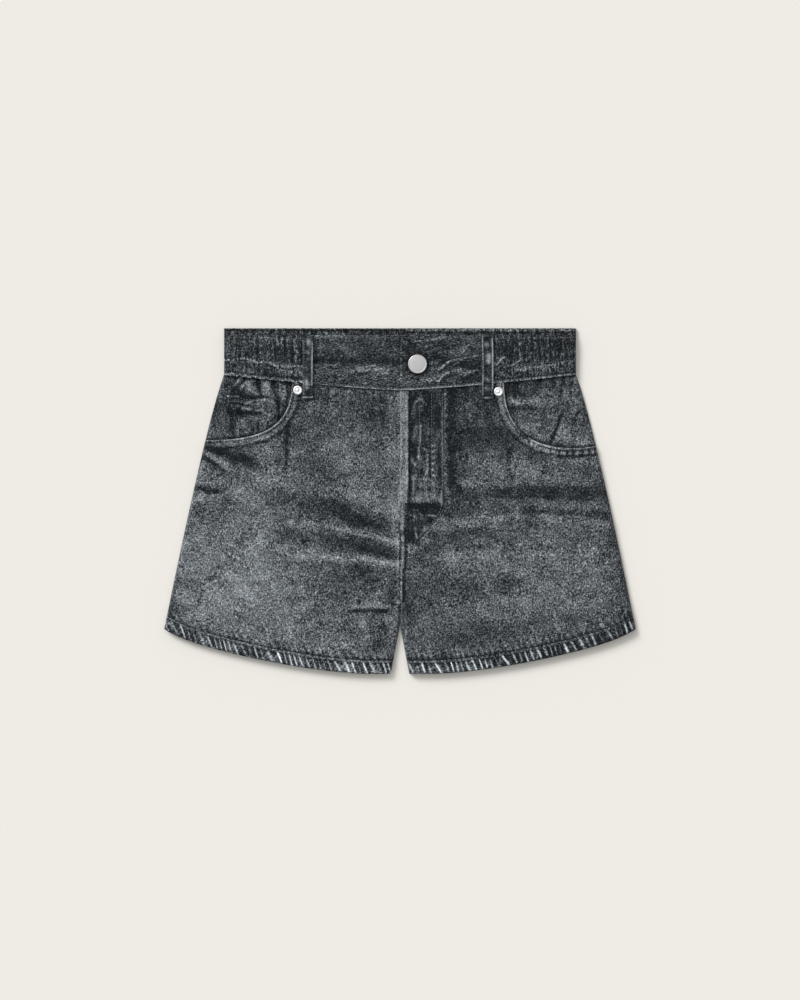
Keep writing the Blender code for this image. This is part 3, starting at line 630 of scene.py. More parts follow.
LEG_DENIM = denim("leg_denim", ((0.95, 2.4, 1.15), (2.2, 0.95, 0.95)), 3.3)
GATHERED_DENIM = denim("gathered_denim", ((1.0, 2.4, 1.3), (1.8, 1.0, 0.9)), 3.5)
PLAIN_DENIM = denim("plain_denim", ((2.6, 0.95, 1.3), (1.2, 1.6, 0.85)), 3.3)
LOOP_DENIM = denim("loop_denim", ((1.0, 2.0, 1.2), (1.8, 1.0, 0.9)), 1.9)
FLY_DENIM = denim("fly_denim", ((1.0, 2.4, 1.3), (1.8, 1.0, 0.9)), 2.5)
THREAD = plain_material("thread", (0.15, 0.158, 0.165), (2.0, 2.0, 2.0), 0.3, 0.8, 0.0, 0.0, 0.4, 0.0002)
BUTTON_METAL = plain_material("button_steel", (0.60, 0.60, 0.61), (6.0, 0.6, 1.0), 0.5, 0.45, 0.2, 1.0,
                              0.15, 0.0001)
RIVET_METAL = plain_material("rivet_steel", (0.97, 0.97, 0.98), (1.2, 1.2, 1.2), 0.1, 0.42, 0.2, 1.0,
                             0.15, 0.0001)


# Meshes


def new_piece(name, points, faces, finish, nodes=()):
    mesh = bpy.data.meshes.new(name)
    mesh.from_pydata(points * MM, [], faces)
    mesh.materials.append(finish)
    mesh.shade_smooth()
    piece = bpy.data.objects.new(name, mesh)
    bpy.context.scene.collection.objects.link(piece)
    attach(piece, BODY)
    if nodes:
        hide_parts(*nodes)
    return piece


def quads(index):
    """Faces between neighbours in a grid of point numbers."""
    return np.stack([index[:-1, :-1], index[:-1, 1:], index[1:, 1:], index[1:, :-1]], -1).reshape(-1, 4)


COARSE = 3              # points of a wall's face to each point of its back


def wall(node, face, back, tone, finish, name=None):
    """One closed wall between two grids of points of the same size: its face, and its coarser back.
    """
    rows, columns = face.shape[:2]
    index = np.arange(rows * columns).reshape(rows, columns)
    picked_rows, picked_columns = (
        np.linspace(0, count - 1, math.ceil((count - 1) / COARSE) + 1).round().astype(int)
        for count in (rows, columns)
    )
    picked = np.ix_(picked_rows, picked_columns)
    under = rows * columns + np.arange(len(picked_rows) * len(picked_columns))
    under = under.reshape(len(picked_rows), len(picked_columns))
    faces = quads(index).tolist() + quads(under)[:, ::-1].tolist()
    borders = (
        (index[0], under[0], picked_columns),
        (index[:, -1], under[:, -1], picked_rows),
        (index[-1, ::-1], under[-1, ::-1], columns - 1 - picked_columns[::-1]),
        (index[::-1, 0], under[::-1, 0], rows - 1 - picked_rows[::-1]),
    )
    for upper, lower, places in borders:
        for step, (start, stop) in enumerate(zip(places, places[1:])):
            faces.append([*upper[start:stop + 1][::-1].tolist(), int(lower[step]), int(lower[step + 1])])
    middle = (rows // 2, columns // 2)
    run_across = face[middle[0], middle[1] + 1] - face[middle]
    run_down = face[middle[0] + 1, middle[1]] - face[middle]
    if run_across[0] * run_down[1] - run_across[1] * run_down[0] < 0:
        faces = [corners[::-1] for corners in faces]
    points = np.concatenate([face.reshape(-1, 3), back[picked].reshape(-1, 3)])
    piece = new_piece(name or f"cloth_{node}", points, faces, finish, (node,))
    piece.data.set_sharp_from_angle(angle=math.radians(60))
    levels = np.concatenate([np.ravel(tone), np.ravel(tone[picked])]).astype(np.float32) / 255.0
    piece.data.attributes.new("tone", "FLOAT", "POINT").data.foreach_set("value", levels)


def grid_between(lefts, rights, top, bottom, shares):
    """Rows of points between two lists of ends, bent to one curve at the top and one at the bottom.

    Shares has a row of places for each pair of ends. The points' x and y are given apart.
    """
    lefts, rights = np.asarray(lefts, float), np.asarray(rights, float)
    down = ((rights[0, 1] - rights[:, 1]) / (rights[0, 1] - rights[-1, 1]))[:, None, None]
    place = shares[:, :, None]
    straight = mix(lefts[:, None, :], rights[:, None, :], place)
    above = np.stack(top(shares), -1) - mix(lefts[0], rights[0], place)
    below = np.stack(bottom(shares), -1) - mix(lefts[-1], rights[-1], place)
    return np.moveaxis(straight + mix(above, below, down), -1, 0)


def spaced(lefts, rights, depth, roll, field, marks=(), inner_roll=True):
    """Places along each row: close together where it turns at its ends, and evenly between them."""
    angles = np.linspace(0.0, math.pi / 2, 8)
    width = np.hypot(*(np.asarray(lefts) - np.asarray(rights)).T)[:, None]
    outer = np.concatenate([inset(angles, depth, roll), marks])
    ends = inset(angles[::-1], depth, roll) if inner_roll else np.zeros(1)
    middle = np.linspace(0.0, 1.0, field + 2)[1:-1]
    start, stop = outer[-1], width - ends[0]
    return np.concatenate([outer + 0 * width, mix(start, stop, middle), width - ends], 1) / width


def placed(side, x, y, z):
    return np.stack(np.broadcast_arrays(side * x, y, z), -1)


def path(x, y):
    """Points along a run, given by their x and y."""
    return np.stack(np.broadcast_arrays(x, y), -1)


# Thread


def resample(path, spacing):
    """Places along a polyline, evenly spaced."""
    path = np.asarray(path, float)
    passed = np.concatenate([[0.0], np.cumsum(np.hypot(*np.diff(path, axis=0).T))])
    places = np.arange(0.0, passed[-1], spacing)
    return np.stack([np.interp(places, passed, path[:, axis]) for axis in (0, 1)], -1)


THREAD_RINGS = 4
THREAD_ROUND = 6
THREAD_SUNK = np.array([-0.3, 0.16, 0.16, -0.3])
THREAD_THICK = np.array([0.6, 1.0, 1.0, 0.6])
PITCH_STEPS = 12


def stitches(name, runs, pitch=3.1, length=2.3, radius=0.3):
    """Short raised lengths of thread along runs of (side, path, height)."""
    turns = np.linspace(0.0, math.tau, THREAD_ROUND, endpoint=False)
    thick = radius * THREAD_THICK[None, :, None]
    aside = thick * np.cos(turns)
    clouds = []
    for side, points, height in runs:
        fine = resample(points, pitch / PITCH_STEPS)
        steps = np.linspace(0, PITCH_STEPS * length / pitch, THREAD_RINGS)
        places = np.arange(len(fine) // PITCH_STEPS)[:, None] * PITCH_STEPS + steps
        x, y = (np.interp(places, np.arange(len(fine)), fine[:, axis]) for axis in (0, 1))
        z = height(side, x, y) + THREAD_SUNK
        heading = np.arctan2(y[:, -1] - y[:, 0], x[:, -1] - x[:, 0])[:, None, None]
        x, y, z = x[:, :, None], y[:, :, None], z[:, :, None]
        cloud = placed(side, x - aside * np.sin(heading), y + aside * np.cos(heading),
                       z + thick * np.sin(turns))
        clouds.append(cloud[:, :, ::side].reshape(-1, 3))
    points = np.concatenate(clouds)
    ring = np.arange(THREAD_ROUND)
    one = []
    for low in range(0, (THREAD_RINGS - 1) * THREAD_ROUND, THREAD_ROUND):
        lower, upper = ring + low, ring + low + THREAD_ROUND
        one += np.stack([lower, np.roll(lower, -1), np.roll(upper, -1), upper], -1).tolist()
    one += [ring[::-1].tolist(), (ring + (THREAD_RINGS - 1) * THREAD_ROUND).tolist()]
    starts = range(0, len(points), THREAD_RINGS * THREAD_ROUND)
    faces = [[corner + start for corner in face] for start in starts for face in one]
    new_piece(name, points, faces, THREAD)

# The two fronts


PocketRow = namedtuple("PocketRow", "share spacing")
POCKET_ROWS = (
    PocketRow(0.0, 0.0),
    PocketRow(0.16, 12.0),
    PocketRow(0.31, 12.0),
    PocketRow(0.46, 12.0),
    PocketRow(0.6, 12.0),
    PocketRow(0.74, 12.0),
    PocketRow(0.87, 12.0),
    PocketRow(0.975, 10.0),
    PocketRow(0.993, 4.0),
    PocketRow(1.0, 2.0),
)
ROW_PITCH = 1.15        # between the rows of a front
FIELD_COLUMNS = 164
MARK_PITCH = 0.7        # between the columns on the turned edge of a pocket opening
MARKS_END = 10.5


# Faint unevenness of the legs, all over and in their upper and lower parts
LEG_SWELLS = (Swell(3.0, 9.0, 32),)
UPPER_SWELLS = (Swell(5.0, 15.0, 31, 3.0),)
LOWER_SWELLS = (Swell(5.0, 26.0, 33, 0.5),)


def pocket_rim_tone(side, x, y):
    """Lines along the edge of a pocket opening: the worn edge itself, a dark channel, the worn turned cloth
    beside it, and a painted shadow where the turned cloth steps down.
    """
    edge = past_pocket_edge(side, x, y)
    along = np.hypot(x - RIVET_PLACE[side][0], y - RIVET_PLACE[side][1])
    if side > 0:
        worn = rise(along, 42, 36) + rise(along, 55, 59) * mix(0.8, 0.4, rise(along, 72, 80))
        second = 34.0 * rise(along, 44, 38) + 26.0 * rise(along, 68, 74)
        dark = mix(20.0, 56.0, rise(along, 62, 70))
    else:
        worn = 0.55 + traces([Trace(0.5, 40, 26)], along)
        second = mix(26.0, 16.0, rise(along, 70, 80)) + traces([Trace(16.0, 20, 16)], along)
        dark = 30.0 + traces([Trace(34.0, 36, 24)], along)
    rim, channel = Trace(92.0 * worn, 0.7, 0.75), Trace(-dark, 2.4, 0.85)
    # The last line is a painted shadow below the step of the turned cloth.
    turned_cloth, painted_step_shadow = Trace(second, 5.0, 1.7), Trace(-26.0, 8.8, 1.5)
    return traces([rim, channel, turned_cloth, painted_step_shadow], edge)


def front_tone(side, x, y):
    """Grey level of a front: marks of the wash, lighter ridges and darker troughs (partly wear, partly
    painted light and shade), the worn edge of its pocket with a painted shadow beside it, and painted shade
    above the hem.
    """
    up = y - hem_edge(x)
    tone = LEG_TONE + WEAR_AND_SHADE * standing_out(lambda a, b: loft(side, a, b) + crumple(side, a, b), x, y, 3.0)
    tone += mix(swells(LOWER_SWELLS, side * x, y), swells(UPPER_SWELLS, side * x, y), rise(y, 10, 50))
    tone += swells(LEG_SWELLS, side * x, y) + pocket_rim_tone(side, x, y)
    puckers = np.sin(math.tau * hem_phase(side, x, up))
    # Above the hem: a dark line and a broader darkening along the step to the hem, both painted shade, and
    # tone that follows the puckers.
    shade_and_puckers_above_hem = [Trace(-44.0, 0.4, 1.6), Trace(-13.0, 0.0, 6.0), Trace(9.0 * puckers, 4.0, 7.0)]
    tone += traces(shade_and_puckers_above_hem, up - HEM_DEEP) + traces([Trace(-18.0, 0.0, 2.0)], waist_seam(x) - y)
    seam = -30.0 * rise(y, -22, -30) * mix(1.0, 0.2, rise(y, -62, -68))
    tone += traces([Trace(seam, 0.0, 1.0)], x)
    if side < 0:
        tone += traces([Trace(34.0 * rise(y, -26, -6), 0.0, 1.6)], x)
    return drawn(tone, WASH_AND_SHADE, LEG_LINES, side, x, y, DARKEST)


def front_panel(side):
    name = SIDES[side]
    shares, middle = [], []
    height = float(waist_seam(0.0)) - GAP
    for before, row in zip(POCKET_ROWS, POCKET_ROWS[1:]):
        count = max(round(row.spacing / ROW_PITCH), 2)
        for step in range(count):
            shares.append(mix(before.share, row.share, step / count))
            middle.append(height - row.spacing * step / count)
        height -= row.spacing
    (_, low_side), (_, low_middle) = hem_seam(0.0), hem_seam(1.0)
    leg_rows = round((POCKET_END[side] - low_side) / ROW_PITCH)
    side_y = np.linspace(POCKET_END[side], low_side, leg_rows + 1)
    middle = np.concatenate([middle, np.linspace(height, low_middle, leg_rows + 1)])
    lefts = np.concatenate([path(*pocket_edge(side, np.array(shares))), path(side_seam(side_y), side_y)])
    rights = path(inseam(middle), middle)
    start = lefts[0, 0]

    def top(share):
        x = mix(start, rights[0][0], share)
        return x, waist_seam(x) - GAP

    lefts[0] = top(0.0)
    marks = np.arange(EDGE_ROLL + MARK_PITCH, MARKS_END, MARK_PITCH)
    layers = []
    for depth, surface in ((CLOTH, loft), (0.0, front_face)):
        places = spaced(lefts, rights, depth, EDGE_ROLL, FIELD_COLUMNS, marks)
        x, y = grid_between(lefts, rights, top, hem_seam, places)
        z = settle(x, y, surface(side, x, y), depth, depth, CLOTH + GAP, EDGE_ROLL)
        layers.append(placed(side, x, y, z))
    back, face = layers
    wall(f"front_{name}", face, back, front_tone(side, x, y), LEG_DENIM)


# Pockets


FACING_WASH = stroke_table(
    # the wearer's right
    (-150.5, 113, -147.5, 110.5, 3.6, 36), (-133, 108.4, -130, 107, 2.8, 36),
    (-117, 116, -115, 104, 3, 18), (-171, 116, -165, 106, 5, -30), (-124, 115, -122, 100, 3.6, -34),
    (-165, 98, -160, 90, 4.5, -12), (-122, 84, -117, 84, 3.4, -34), (-171, 94, -146, 93, 7, -24),
    (-184, 104, -178, 90, 6, -12), (-168, 84, -167, 64, 2.8, -24), (-158, 78, -132, 76, 8, 6),
    (-136, 90, -126, 84, 6, 14), (-181, 82, -180, 70, 4, 10), (-186, 96, -178, 82, 6, -22),
    (-160, 108, -148, 103, 5, -34), (-152, 72, -146, 70, 6, 10),
    # the wearer's left
    (104, 116, 118, 108, 6, -34), (114, 101, 138, 98, 4, 34), (113, 92.5, 144, 93, 2.4, -34),
    (142, 104, 176, 104, 7, 8), (120, 74, 140, 66, 5, 26), (102, 90, 112, 80, 6, 26),
    (162, 70, 180, 62, 8, 22), (112, 84, 146, 78, 5, -6), (126, 118, 170, 116, 4, -14),
    (171, 100, 180, 84, 5, -14),
)
FACING_LINES = line_table(
    # gathers below the waist seam of the wearer's right
    (1.1, 42, -168, 113, -163, 119, -159, 124), (1.1, 46, -160, 112, -154.5, 118.5, -145, 120.5),
    (1.2, -34, -170, 119, -168, 113), (1.2, -38, -164.5, 112, -160, 117, -156, 121),
    (1.2, -40, -158, 104.6, -144, 104, -132, 103.8, -126, 102, -120.6, 97),
    (1.8, -34, -161, 113, -158, 107), (1.6, -40, -144, 121, -141, 114, -139, 106),
    (1, 30, -137, 119, -133, 116, -130, 112), (1.2, -30, -127, 118, -127, 112, -124, 104),
    (1, 28, -120, 117, -121, 108, -119, 98), (1.2, -34, -113.5, 117, -112, 108, -114, 98),
    (1, 26, -109, 116, -110, 104, -114, 92),
    # gathers and a sharp crease of the wearer's left
    (1.5, -74, 160.5, 84, 157, 72, 150.5, 57.5), (1.4, 30, 163, 82, 159.6, 70, 153.4, 59),
    (1.4, 46, 111, 103, 113, 99, 118, 98), (1.2, -30, 108, 115, 109, 106, 113, 96),
    (1, -24, 119, 116, 118, 108), (1, -24, 128, 118, 129, 110, 133, 106), (1, 22, 124, 117, 124, 109),
    (1.1, -20, 146, 119, 150, 110), (1.1, -20, 163, 120, 168, 112),
)
FACING_ROWS = 66
FACING_COLUMNS = 78


def facing_face(side, x, y, set_in):
    """A face of a facing, some way in from its outer one, which starts a gap inside the side seam."""
    top = facing_level(side, x, y) + facing_gathers(side, x, y)
    return settle(x, y, top, CLOTH + FACING_DROP - GAP + set_in, set_in, CLOTH + GAP, EDGE_ROLL)


def facing_tone(side, x, y):
    edge = past_pocket_edge(side, x, y)
    # Lighter where the gathers stand out and darker between them: partly wear, partly painted light and
    # shade.
    tone = FACING_TONE + 30.0 * standing_out(lambda a, b: facing_gathers(side, a, b), x, y, 2.0)
    tone += 16.0 * facing_gathers(side, x, y) + swells([Swell(7.0, 14.0, 41, 1.6)], side * x, y)
    # The dark line just under the front's turned edge is painted shade.
    tone += traces([Trace(-34.0, -1.0, 1.5)], edge) + traces([Trace(-26.0, 0.0, 2.2)], waist_seam(x) - y)
    # A broader painted shade under the edge of the pocket on the wearer's right.
    if side < 0:
        tone += traces([Trace(-18.0 * rise(y, 68, 76), -4.0, 3.4)], edge)
    return drawn(tone, FACING_WASH, FACING_LINES, side, x, y, DARKEST)


def pocket_facing(side):
    name = SIDES[side]
    inner_x = POCKET_CURVE[side][0][0] - POCKET_UNDERLAP
    side_y = np.linspace(SEAM_SIDE - GAP, POCKET_END[side] + GAP, FACING_ROWS + 1)
    lefts = path(side_seam(side_y), side_y)

    def top(share):
        x = mix(WAIST_HALF, inner_x, share)
        return x, waist_seam(np.minimum(x, WAIST_HALF)) - GAP

    def bottom(share):
        """The pocket edge moved under the front, except at the side seam."""
        along = 1.0 - share
        x, y = pocket_edge(side, along)
        ahead = pocket_edge(side, np.minimum(along + 0.02, 1.0))
        behind = pocket_edge(side, np.maximum(along - 0.02, 0.0))
        run_x, run_y = ahead[0] - behind[0], ahead[1] - behind[1]
        under = mix(-FACING_SIDE_GAP, POCKET_UNDERLAP, ease((share - 0.03) / 0.25)) / np.hypot(run_x, run_y)
        return x + run_y * under, y - run_x * under

    low_x, low_y = bottom(np.array(1.0))
    rights = path(low_x, np.linspace(float(top(1.0)[1]), low_y, FACING_ROWS + 1))
    layers = []
    for set_in in (CLOTH + GAP, GAP):
        places = spaced(lefts, rights, set_in, EDGE_ROLL, FACING_COLUMNS, inner_roll=False)
        x, y = grid_between(lefts, rights, top, bottom, places)
        layers.append(placed(side, x, y, facing_face(side, x, y, set_in)))
    back, face = layers
    wall(f"pocket_facing_{name}", face, back, facing_tone(side, x, y), LEG_DENIM)


COIN_OUTER = 173.0
COIN_INNER = 121.5
COIN_TOP = 105.6
COIN_FALL = 2.8
COIN_FALL_RUN = 10.0
COIN_CORNER = 6.0
COIN_CORNER_RUN = 9.0
COIN_GRID = (50, 75)
COIN_LINES = line_table(
    # the dark line from -159 to -145 along the top edge is painted shadow of the opening edge
    (1, 50, -172.6, 105, -168, 105.1, -161, 104.5), (1.1, -44, -159, 103, -150, 101.6, -145, 102.2),
    (0.9, 40, -169, 100.6, -162, 100.3), (0.9, 30, -155, 98, -151, 98.4),
    (0.9, -36, -170.5, 97.4, -160, 97, -150, 96), (1.3, 40, -168, 95.8, -161, 95.2),
    (1.5, 56, -157, 92.8, -150, 92.6), (1.6, 34, -146, 91.2, -138, 90.8),
    (1, 56, -154, 97, -150.9, 98.5, -146.7, 99.9, -141.8, 100.6, -137.5, 101.4),
    (1, 50, -137.5, 101.4, -132.6, 101, -128.4, 99.5, -125.4, 97.6),
    (0.9, 32, -147, 96.4, -141, 97.6, -136, 98.4, -130, 97.2), (2.8, -34, -173, 89, -162, 88.4),
    (2.2, -36, -161, 88.2, -148, 87.8, -138, 87.6), (1.4, -28, -142, 81, -141.6, 70),
)


def coin_high_edge(x):
    slope = COIN_TOP - COIN_FALL * ease((COIN_OUTER - COIN_FALL_RUN - x) / COIN_FALL_RUN)
    return slope - COIN_CORNER * np.maximum((COIN_INNER + COIN_CORNER_RUN - x) / COIN_CORNER_RUN, 0.0) ** 2


def coin_height(side, x, y):
    depth = CLOTH + FACING_DROP - GAP - COIN_CLOTH
    hem = 0.25 * bell(coin_high_edge(x) - y - 3.0, 3.4)
    return loft(side, x, y) + facing_gathers(side, x, y) - depth + hem


def coin_pocket():
    low_x, low_y = pocket_edge(-1, np.linspace(0, 1, 241))
    order = np.argsort(low_x)
    rows, columns = COIN_GRID
    x = np.broadcast_to(np.linspace(COIN_OUTER, COIN_INNER, columns), COIN_GRID)
    high, low = coin_high_edge(x), np.interp(x, low_x[order], low_y[order]) + 1.0
    y = mix(high, low, np.linspace(0, 1, rows)[:, None])
    z = coin_height(-1, x, y)
    tone = facing_tone(-1, x, y) + lines(COIN_LINES, -x, y)
    tone += traces([Trace(-12.0, 2.6, 0.9)], high - y) + traces([Trace(-30.0, 0.0, 1.2)], x - COIN_INNER)
    wall("coin_pocket", placed(-1, x, y, z), placed(-1, x, y, z - COIN_CLOTH), tone, LEG_DENIM)


# Fly


FLY_WIDE = 43.5
FLY_FOOT = 17.0
FLY_LOW = -42.0
FLY_STRIP = 8.4
FLY_GRID = (220, 78)
BEAD_PITCH = 6.1
FLY_WASH = stroke_table(
    (30, 100, 34, 80, 8, -14), (14, 80, 15, 52, 4, -8), (12, 1.6, 38, 1.2, 3.8, 56),
    (18, 6, 26, 6.6, 3, 18), (36.5, 66, 37, 24, 2.6, 14), (16, 16, 36, 10, 10, 14),
    (22, 39, 20, 36, 3.4, 26), (17, 16, 32, 14, 7, 10), (10, -7.6, 25, -7.2, 5.2, -12),
    (24, -7.4, 37, -7.2, 4.8, -28), (1.9, -8, 1.7, -24, 3.2, 84), (6.6, 12, 6.6, 1, 1.6, -22),
    (20, 11, 26, 11.4, 2, -20), (38, -14, 42, -18, 3, -26), (26, 106, 34, 98, 5, -8),
    (31, -18, 35, -20, 3, -26), (18, -22, 33, -21, 4, -20), (22, -32, 34, -30, 6, 18),
)
FLY_LINES = line_table(
    # worn arches and creases of the upper part
    (1.2, 49, 13.4, 88, 15, 98, 18, 102, 22, 101.6), (1, 32, 21, 104.6, 27.5, 106),
    (1, 35, 22, 100, 26, 97), (1.1, 55, 21, 76, 20.2, 61, 19.4, 52, 18.3, 41.6),
    (1, 38, 15.4, 73.6, 21, 75), (1.2, 87, 10.7, 42.7, 15, 36.2),
    (1.3, 67, 22.6, 52.5, 26.6, 50.8, 27.6, 44, 27.4, 35, 26.6, 27),
    # the pressed-through box of the lower part
    (1.1, 49, 13.4, 26, 13.8, 8), (1, 38, 13.6, 21.6, 24, 22.4, 32.5, 20.4, 34.2, 16, 34, 4),
    (1, 49, 26.4, 13, 26.2, 5), (1, 32, 20.4, 18, 20.4, 6), (1, -38, 27.6, 11.6, 31.6, 10.4),
    (1, -32, 17, 12, 23, 11), (0.9, -36, 9, -3.1, 40, -3.1), (1.4, -34, 36, 12, 40, 11),
    # the outer edge
    (1.2, 67, 44.8, 109, 43.4, 100), (1.2, 75, 42.6, 93, 42.9, 85), (2.2, 46, 42.6, 79, 42.8, 72),
    (1.3, 50, 42.9, 58, 43.2, 46), (1, 46, 42.6, 70, 42.7, 13), (1.1, 44, 41.4, 10, 41.2, -4),
    # under the fly
    (1.1, 58, 14, -8, 14.4, -24), (1, 90, 14.5, -26.5, 16.7, -36.4), (0.9, 52, 27.5, -14.7, 36, -14.5),
    (1.4, 38, 21.4, -15.6, 21.8, -18.4), (1.8, 66, 25.4, -28.6, 27.2, -30),
    (1.6, 54, 9, -12.4, 10.6, -14.2), (1.5, 50, 20.4, -12.6, 22, -15), (1.4, 50, 14.6, -9, 18, -8.6),
    (1.7, 96, 2.4, -36, 2.6, -39.4), (2, -40, 14.6, -22, 13.4, -34), (2.2, -44, 17.6, -31, 18, -40),
    (1.4, -30, 5.8, -27, 5.9, -42), (1.3, -58, 14.6, -37, 13.6, -41), (1.3, -49, 8, -30, 7.4, -40),
)


def fly_right(y):
    """The outer edge of the fly, which curves in to its foot."""
    return mix(FLY_WIDE, FLY_FOOT, 1.45 * rise(y, -1, -63))


def fly_lift(x, y):
    """Relief of the fly above its base: the raised strip, stitched channels and small folds."""
    strip = 0.7 * ease((x - 0.2) / 0.5) * (1.0 - ease((x - FLY_STRIP) / 0.9))
    folds = 0.22 * ripple(x, y, 9.0, 51, 3.2) + 0.2 * ripple(x, y, 16.0, 52, 2.0)
    channels = sum(0.25 * bell(x - place, 0.8) for place in FLY_STITCHES)
    return strip + ease((x - FLY_STRIP - 1.5) / 3.0) * (folds - channels)


def fly_tone(x, y):
    narrowed = FLY_STRIP - 0.4 - 1.2 * rise(y, 18, 8)
    strip = rise(x - narrowed, 0.7, 0.0) * rise(y, -3, 0)
    tone = FLY_TONE + strip * (STRIP_TONE + traces([Trace(28.0, 0.6, 1.0), Trace(28.0, 6.6, 1.1)], x))
    # Painted shade in the dip just beside the raised strip.
    tone += traces([Trace(-40.0 * rise(y, -6, 0), 1.4, 1.2)], x - FLY_STRIP)
    # the row of worn beads that the stitches of the hidden layers press through
    low = rise(y, 74, 40) * rise(y, 22, 27)
    turns = (y - 0.8) / BEAD_PITCH
    beads = ease(1.0 - 2.6 * np.abs(turns - np.round(turns)))
    row = Trace(10.0 + 92.0 * low * beads, 33.0 + 0.8 * np.sin(y / 3.0), 1.9)
    tone += traces([row, Trace(-22.0 * low, 30.0, 1.0), Trace(-18.0 * low, 38.6, 1.6)], x) - 8.0
    tone += traces([Trace(16.0 * rise(x, 12, 15), 0.3, 0.2)], fly_lift(x, y))
    tone += swells([Swell(10.0, 10.0, 53, 2.6)], x, y) * rise(x, 9, 11)
    # Lighter along the fly's lower edge: partly the cloth's own lighter tone there, partly painted light
    # that lessens the shade of its step.
    tone += traces([Trace(30.0 * rise(y, -9, -21), 0.0, 4.5)], fly_right(y) - x)
    return drawn(tone, FLY_WASH, FLY_LINES, 1, x, y, DARKEST_FLY)


def fly_height(side, x, y):
    return front_face(side, x, y) + GAP + COIN_CLOTH + fly_lift(x, y)


def fly_placket():
    rows, columns = FLY_GRID
    y = np.broadcast_to(np.linspace(SEAM_MIDDLE - 2 * GAP, FLY_LOW, rows)[:, None], FLY_GRID)
    share = np.linspace(0.0, 1.0, columns)
    x = mix(GAP / 2, fly_right(y), share)
    base = front_face(1, x, y) + GAP
    away = (1.0 - share) * fly_right(y)
    edge = rounded(away, 0.35, 0.8) + ease((-4.0 - y) / 8.0) * rounded(away, 0.5, 5.0)
    face = placed(1, x, y, base + COIN_CLOTH + fly_lift(x, y) - edge)
    wall("fly_placket", face, placed(1, x, y, base), fly_tone(x, y), FLY_DENIM,
         name="cloth_fly")


# Waistband


BAND_SEAM = 137.0       # the turned-in edge that shows through the plain waistband
BAND_CREASES = stroke_table(
    (34, 121, 64, 141, 2.2, 0.45, 1.5), (38, 118, 68, 136, 2.6, -0.4, 1), (24, 139, 44, 139, 1.8, -0.5),
    (-60, 150, -20, 148, 4, 0.2, 1), (8, 158, 60, 155, 4, -0.25, 1.5),
)
PLAIN_WASH = stroke_table(
    (-84, 141, -2, 139.5, 3.8, -24), (-80, 130, -6, 129, 7, 8), (-30, 154, -4, 152, 10, -8),
    (6, 158, 14, 146, 8, -14), (12, 124, 22, 118, 7, -8), (24, 123, 31, 122, 4, 20),
    (56, 150, 72, 158, 4.5, 16), (52, 137, 80, 136, 4.6, -26), (2, 121, 9, 120, 3.6, 16),
    (20, 158, 70, 154, 9, -12), (14, 142, 40, 142, 5, -14), (34, 146, 42, 134, 6, -8),
    (50, 118, 76, 122, 4, -10), (8, 146, 8, 130, 5, -10), (70, 122, 82, 128, 5, -14),
)
PLAIN_LINES = line_table(
    (1.1, 40, -72, 135.4, -60, 136.4), (1.1, 30, -56, 131, -47, 130.4),
    (1.1, 36, -50, 128.4, -38, 131, -30, 131.6), (1.1, 38, -42, 134, -30, 135, -22, 135.6),
    (1.1, 34, -25, 131, -16, 132.4), (1.1, 34, -20, 127, -11, 128.6), (1.1, 26, -72, 128, -62, 127.4),
    (1.1, 26, -40, 122.6, -24, 124), (1, -26, -70, 132.6, -58, 133), (1, -26, -46, 126, -30, 127.4),
    (0.8, 40, 0.7, 152, 0.7, 118), (0.9, 24, 0.5, 158, 28, 161, 51, 164.6),
    (1.2, 46, 27, 160.6, 35, 162, 44.4, 163.4), (0.9, 30, -84, 164.6, -56, 164.8),
    # creases that run from the button to the loop
    (1, 92, 38.9, 131.4, 42.4, 133.6, 45.3, 137, 49, 139.4),
    (0.9, 44, 49, 139.4, 55.5, 141.2, 64.8, 143, 76, 145),
    (1, 88, 37, 119.6, 39.8, 121, 41.6, 124.6, 45.3, 127, 49, 128.4), (1.5, 56, 53, 129.4, 60, 132),
    (1.2, 66, 64.4, 127.4, 70.6, 129.2), (0.8, 34, 71, 129.4, 80, 131.4), (1.2, 34, 29, 138.4, 35, 138.4),
    (1.4, -28, 31, 144, 40, 144.6, 45, 142.6), (1.3, -34, 40, 129, 44, 132, 50, 136.4),
    (1.3, -26, 41, 118.4, 46, 123, 52, 125.6, 62, 125), (1.2, 40, 21, 121.6, 23, 121.2),
    (1.4, 54, 25.4, 121.4, 27, 120.8), (1.2, 44, 29.4, 119.6, 31.4, 120.6),
    (1.2, 30, 60, 147, 65, 152, 69, 156), (1, 34, 63, 145.6, 68, 148),
)


def band_top(side, x):
    overlap = OVERLAP_LIFT * (1.0 - ease((x - 36.0) / 12.0)) if side > 0 else 0.0
    return BAND_TOP + overlap


def plain_height(side, x, y):
    """Outer face of the plain waistband."""
    up, below_top = y - waist_seam(x), FRONT_TOP - y
    ends = rounded(up, 0.55, 1.6) + rounded(below_top, 0.55, 1.6)
    channels = 0.22 * (bell(up - BAND_STITCH, 0.7) + bell(below_top - BAND_TOP_STITCH, 0.7))
    ridge = 0.3 * ease((BAND_SEAM + 1.5 - y) / 3.0)
    folds = 0.16 * ripple(side * x, y, 22.0, 61, 0.6) + strokes(BAND_CREASES, side * x, y)
    return band_top(side, x) - ends - channels + ridge + folds * ease(up / 3.0)


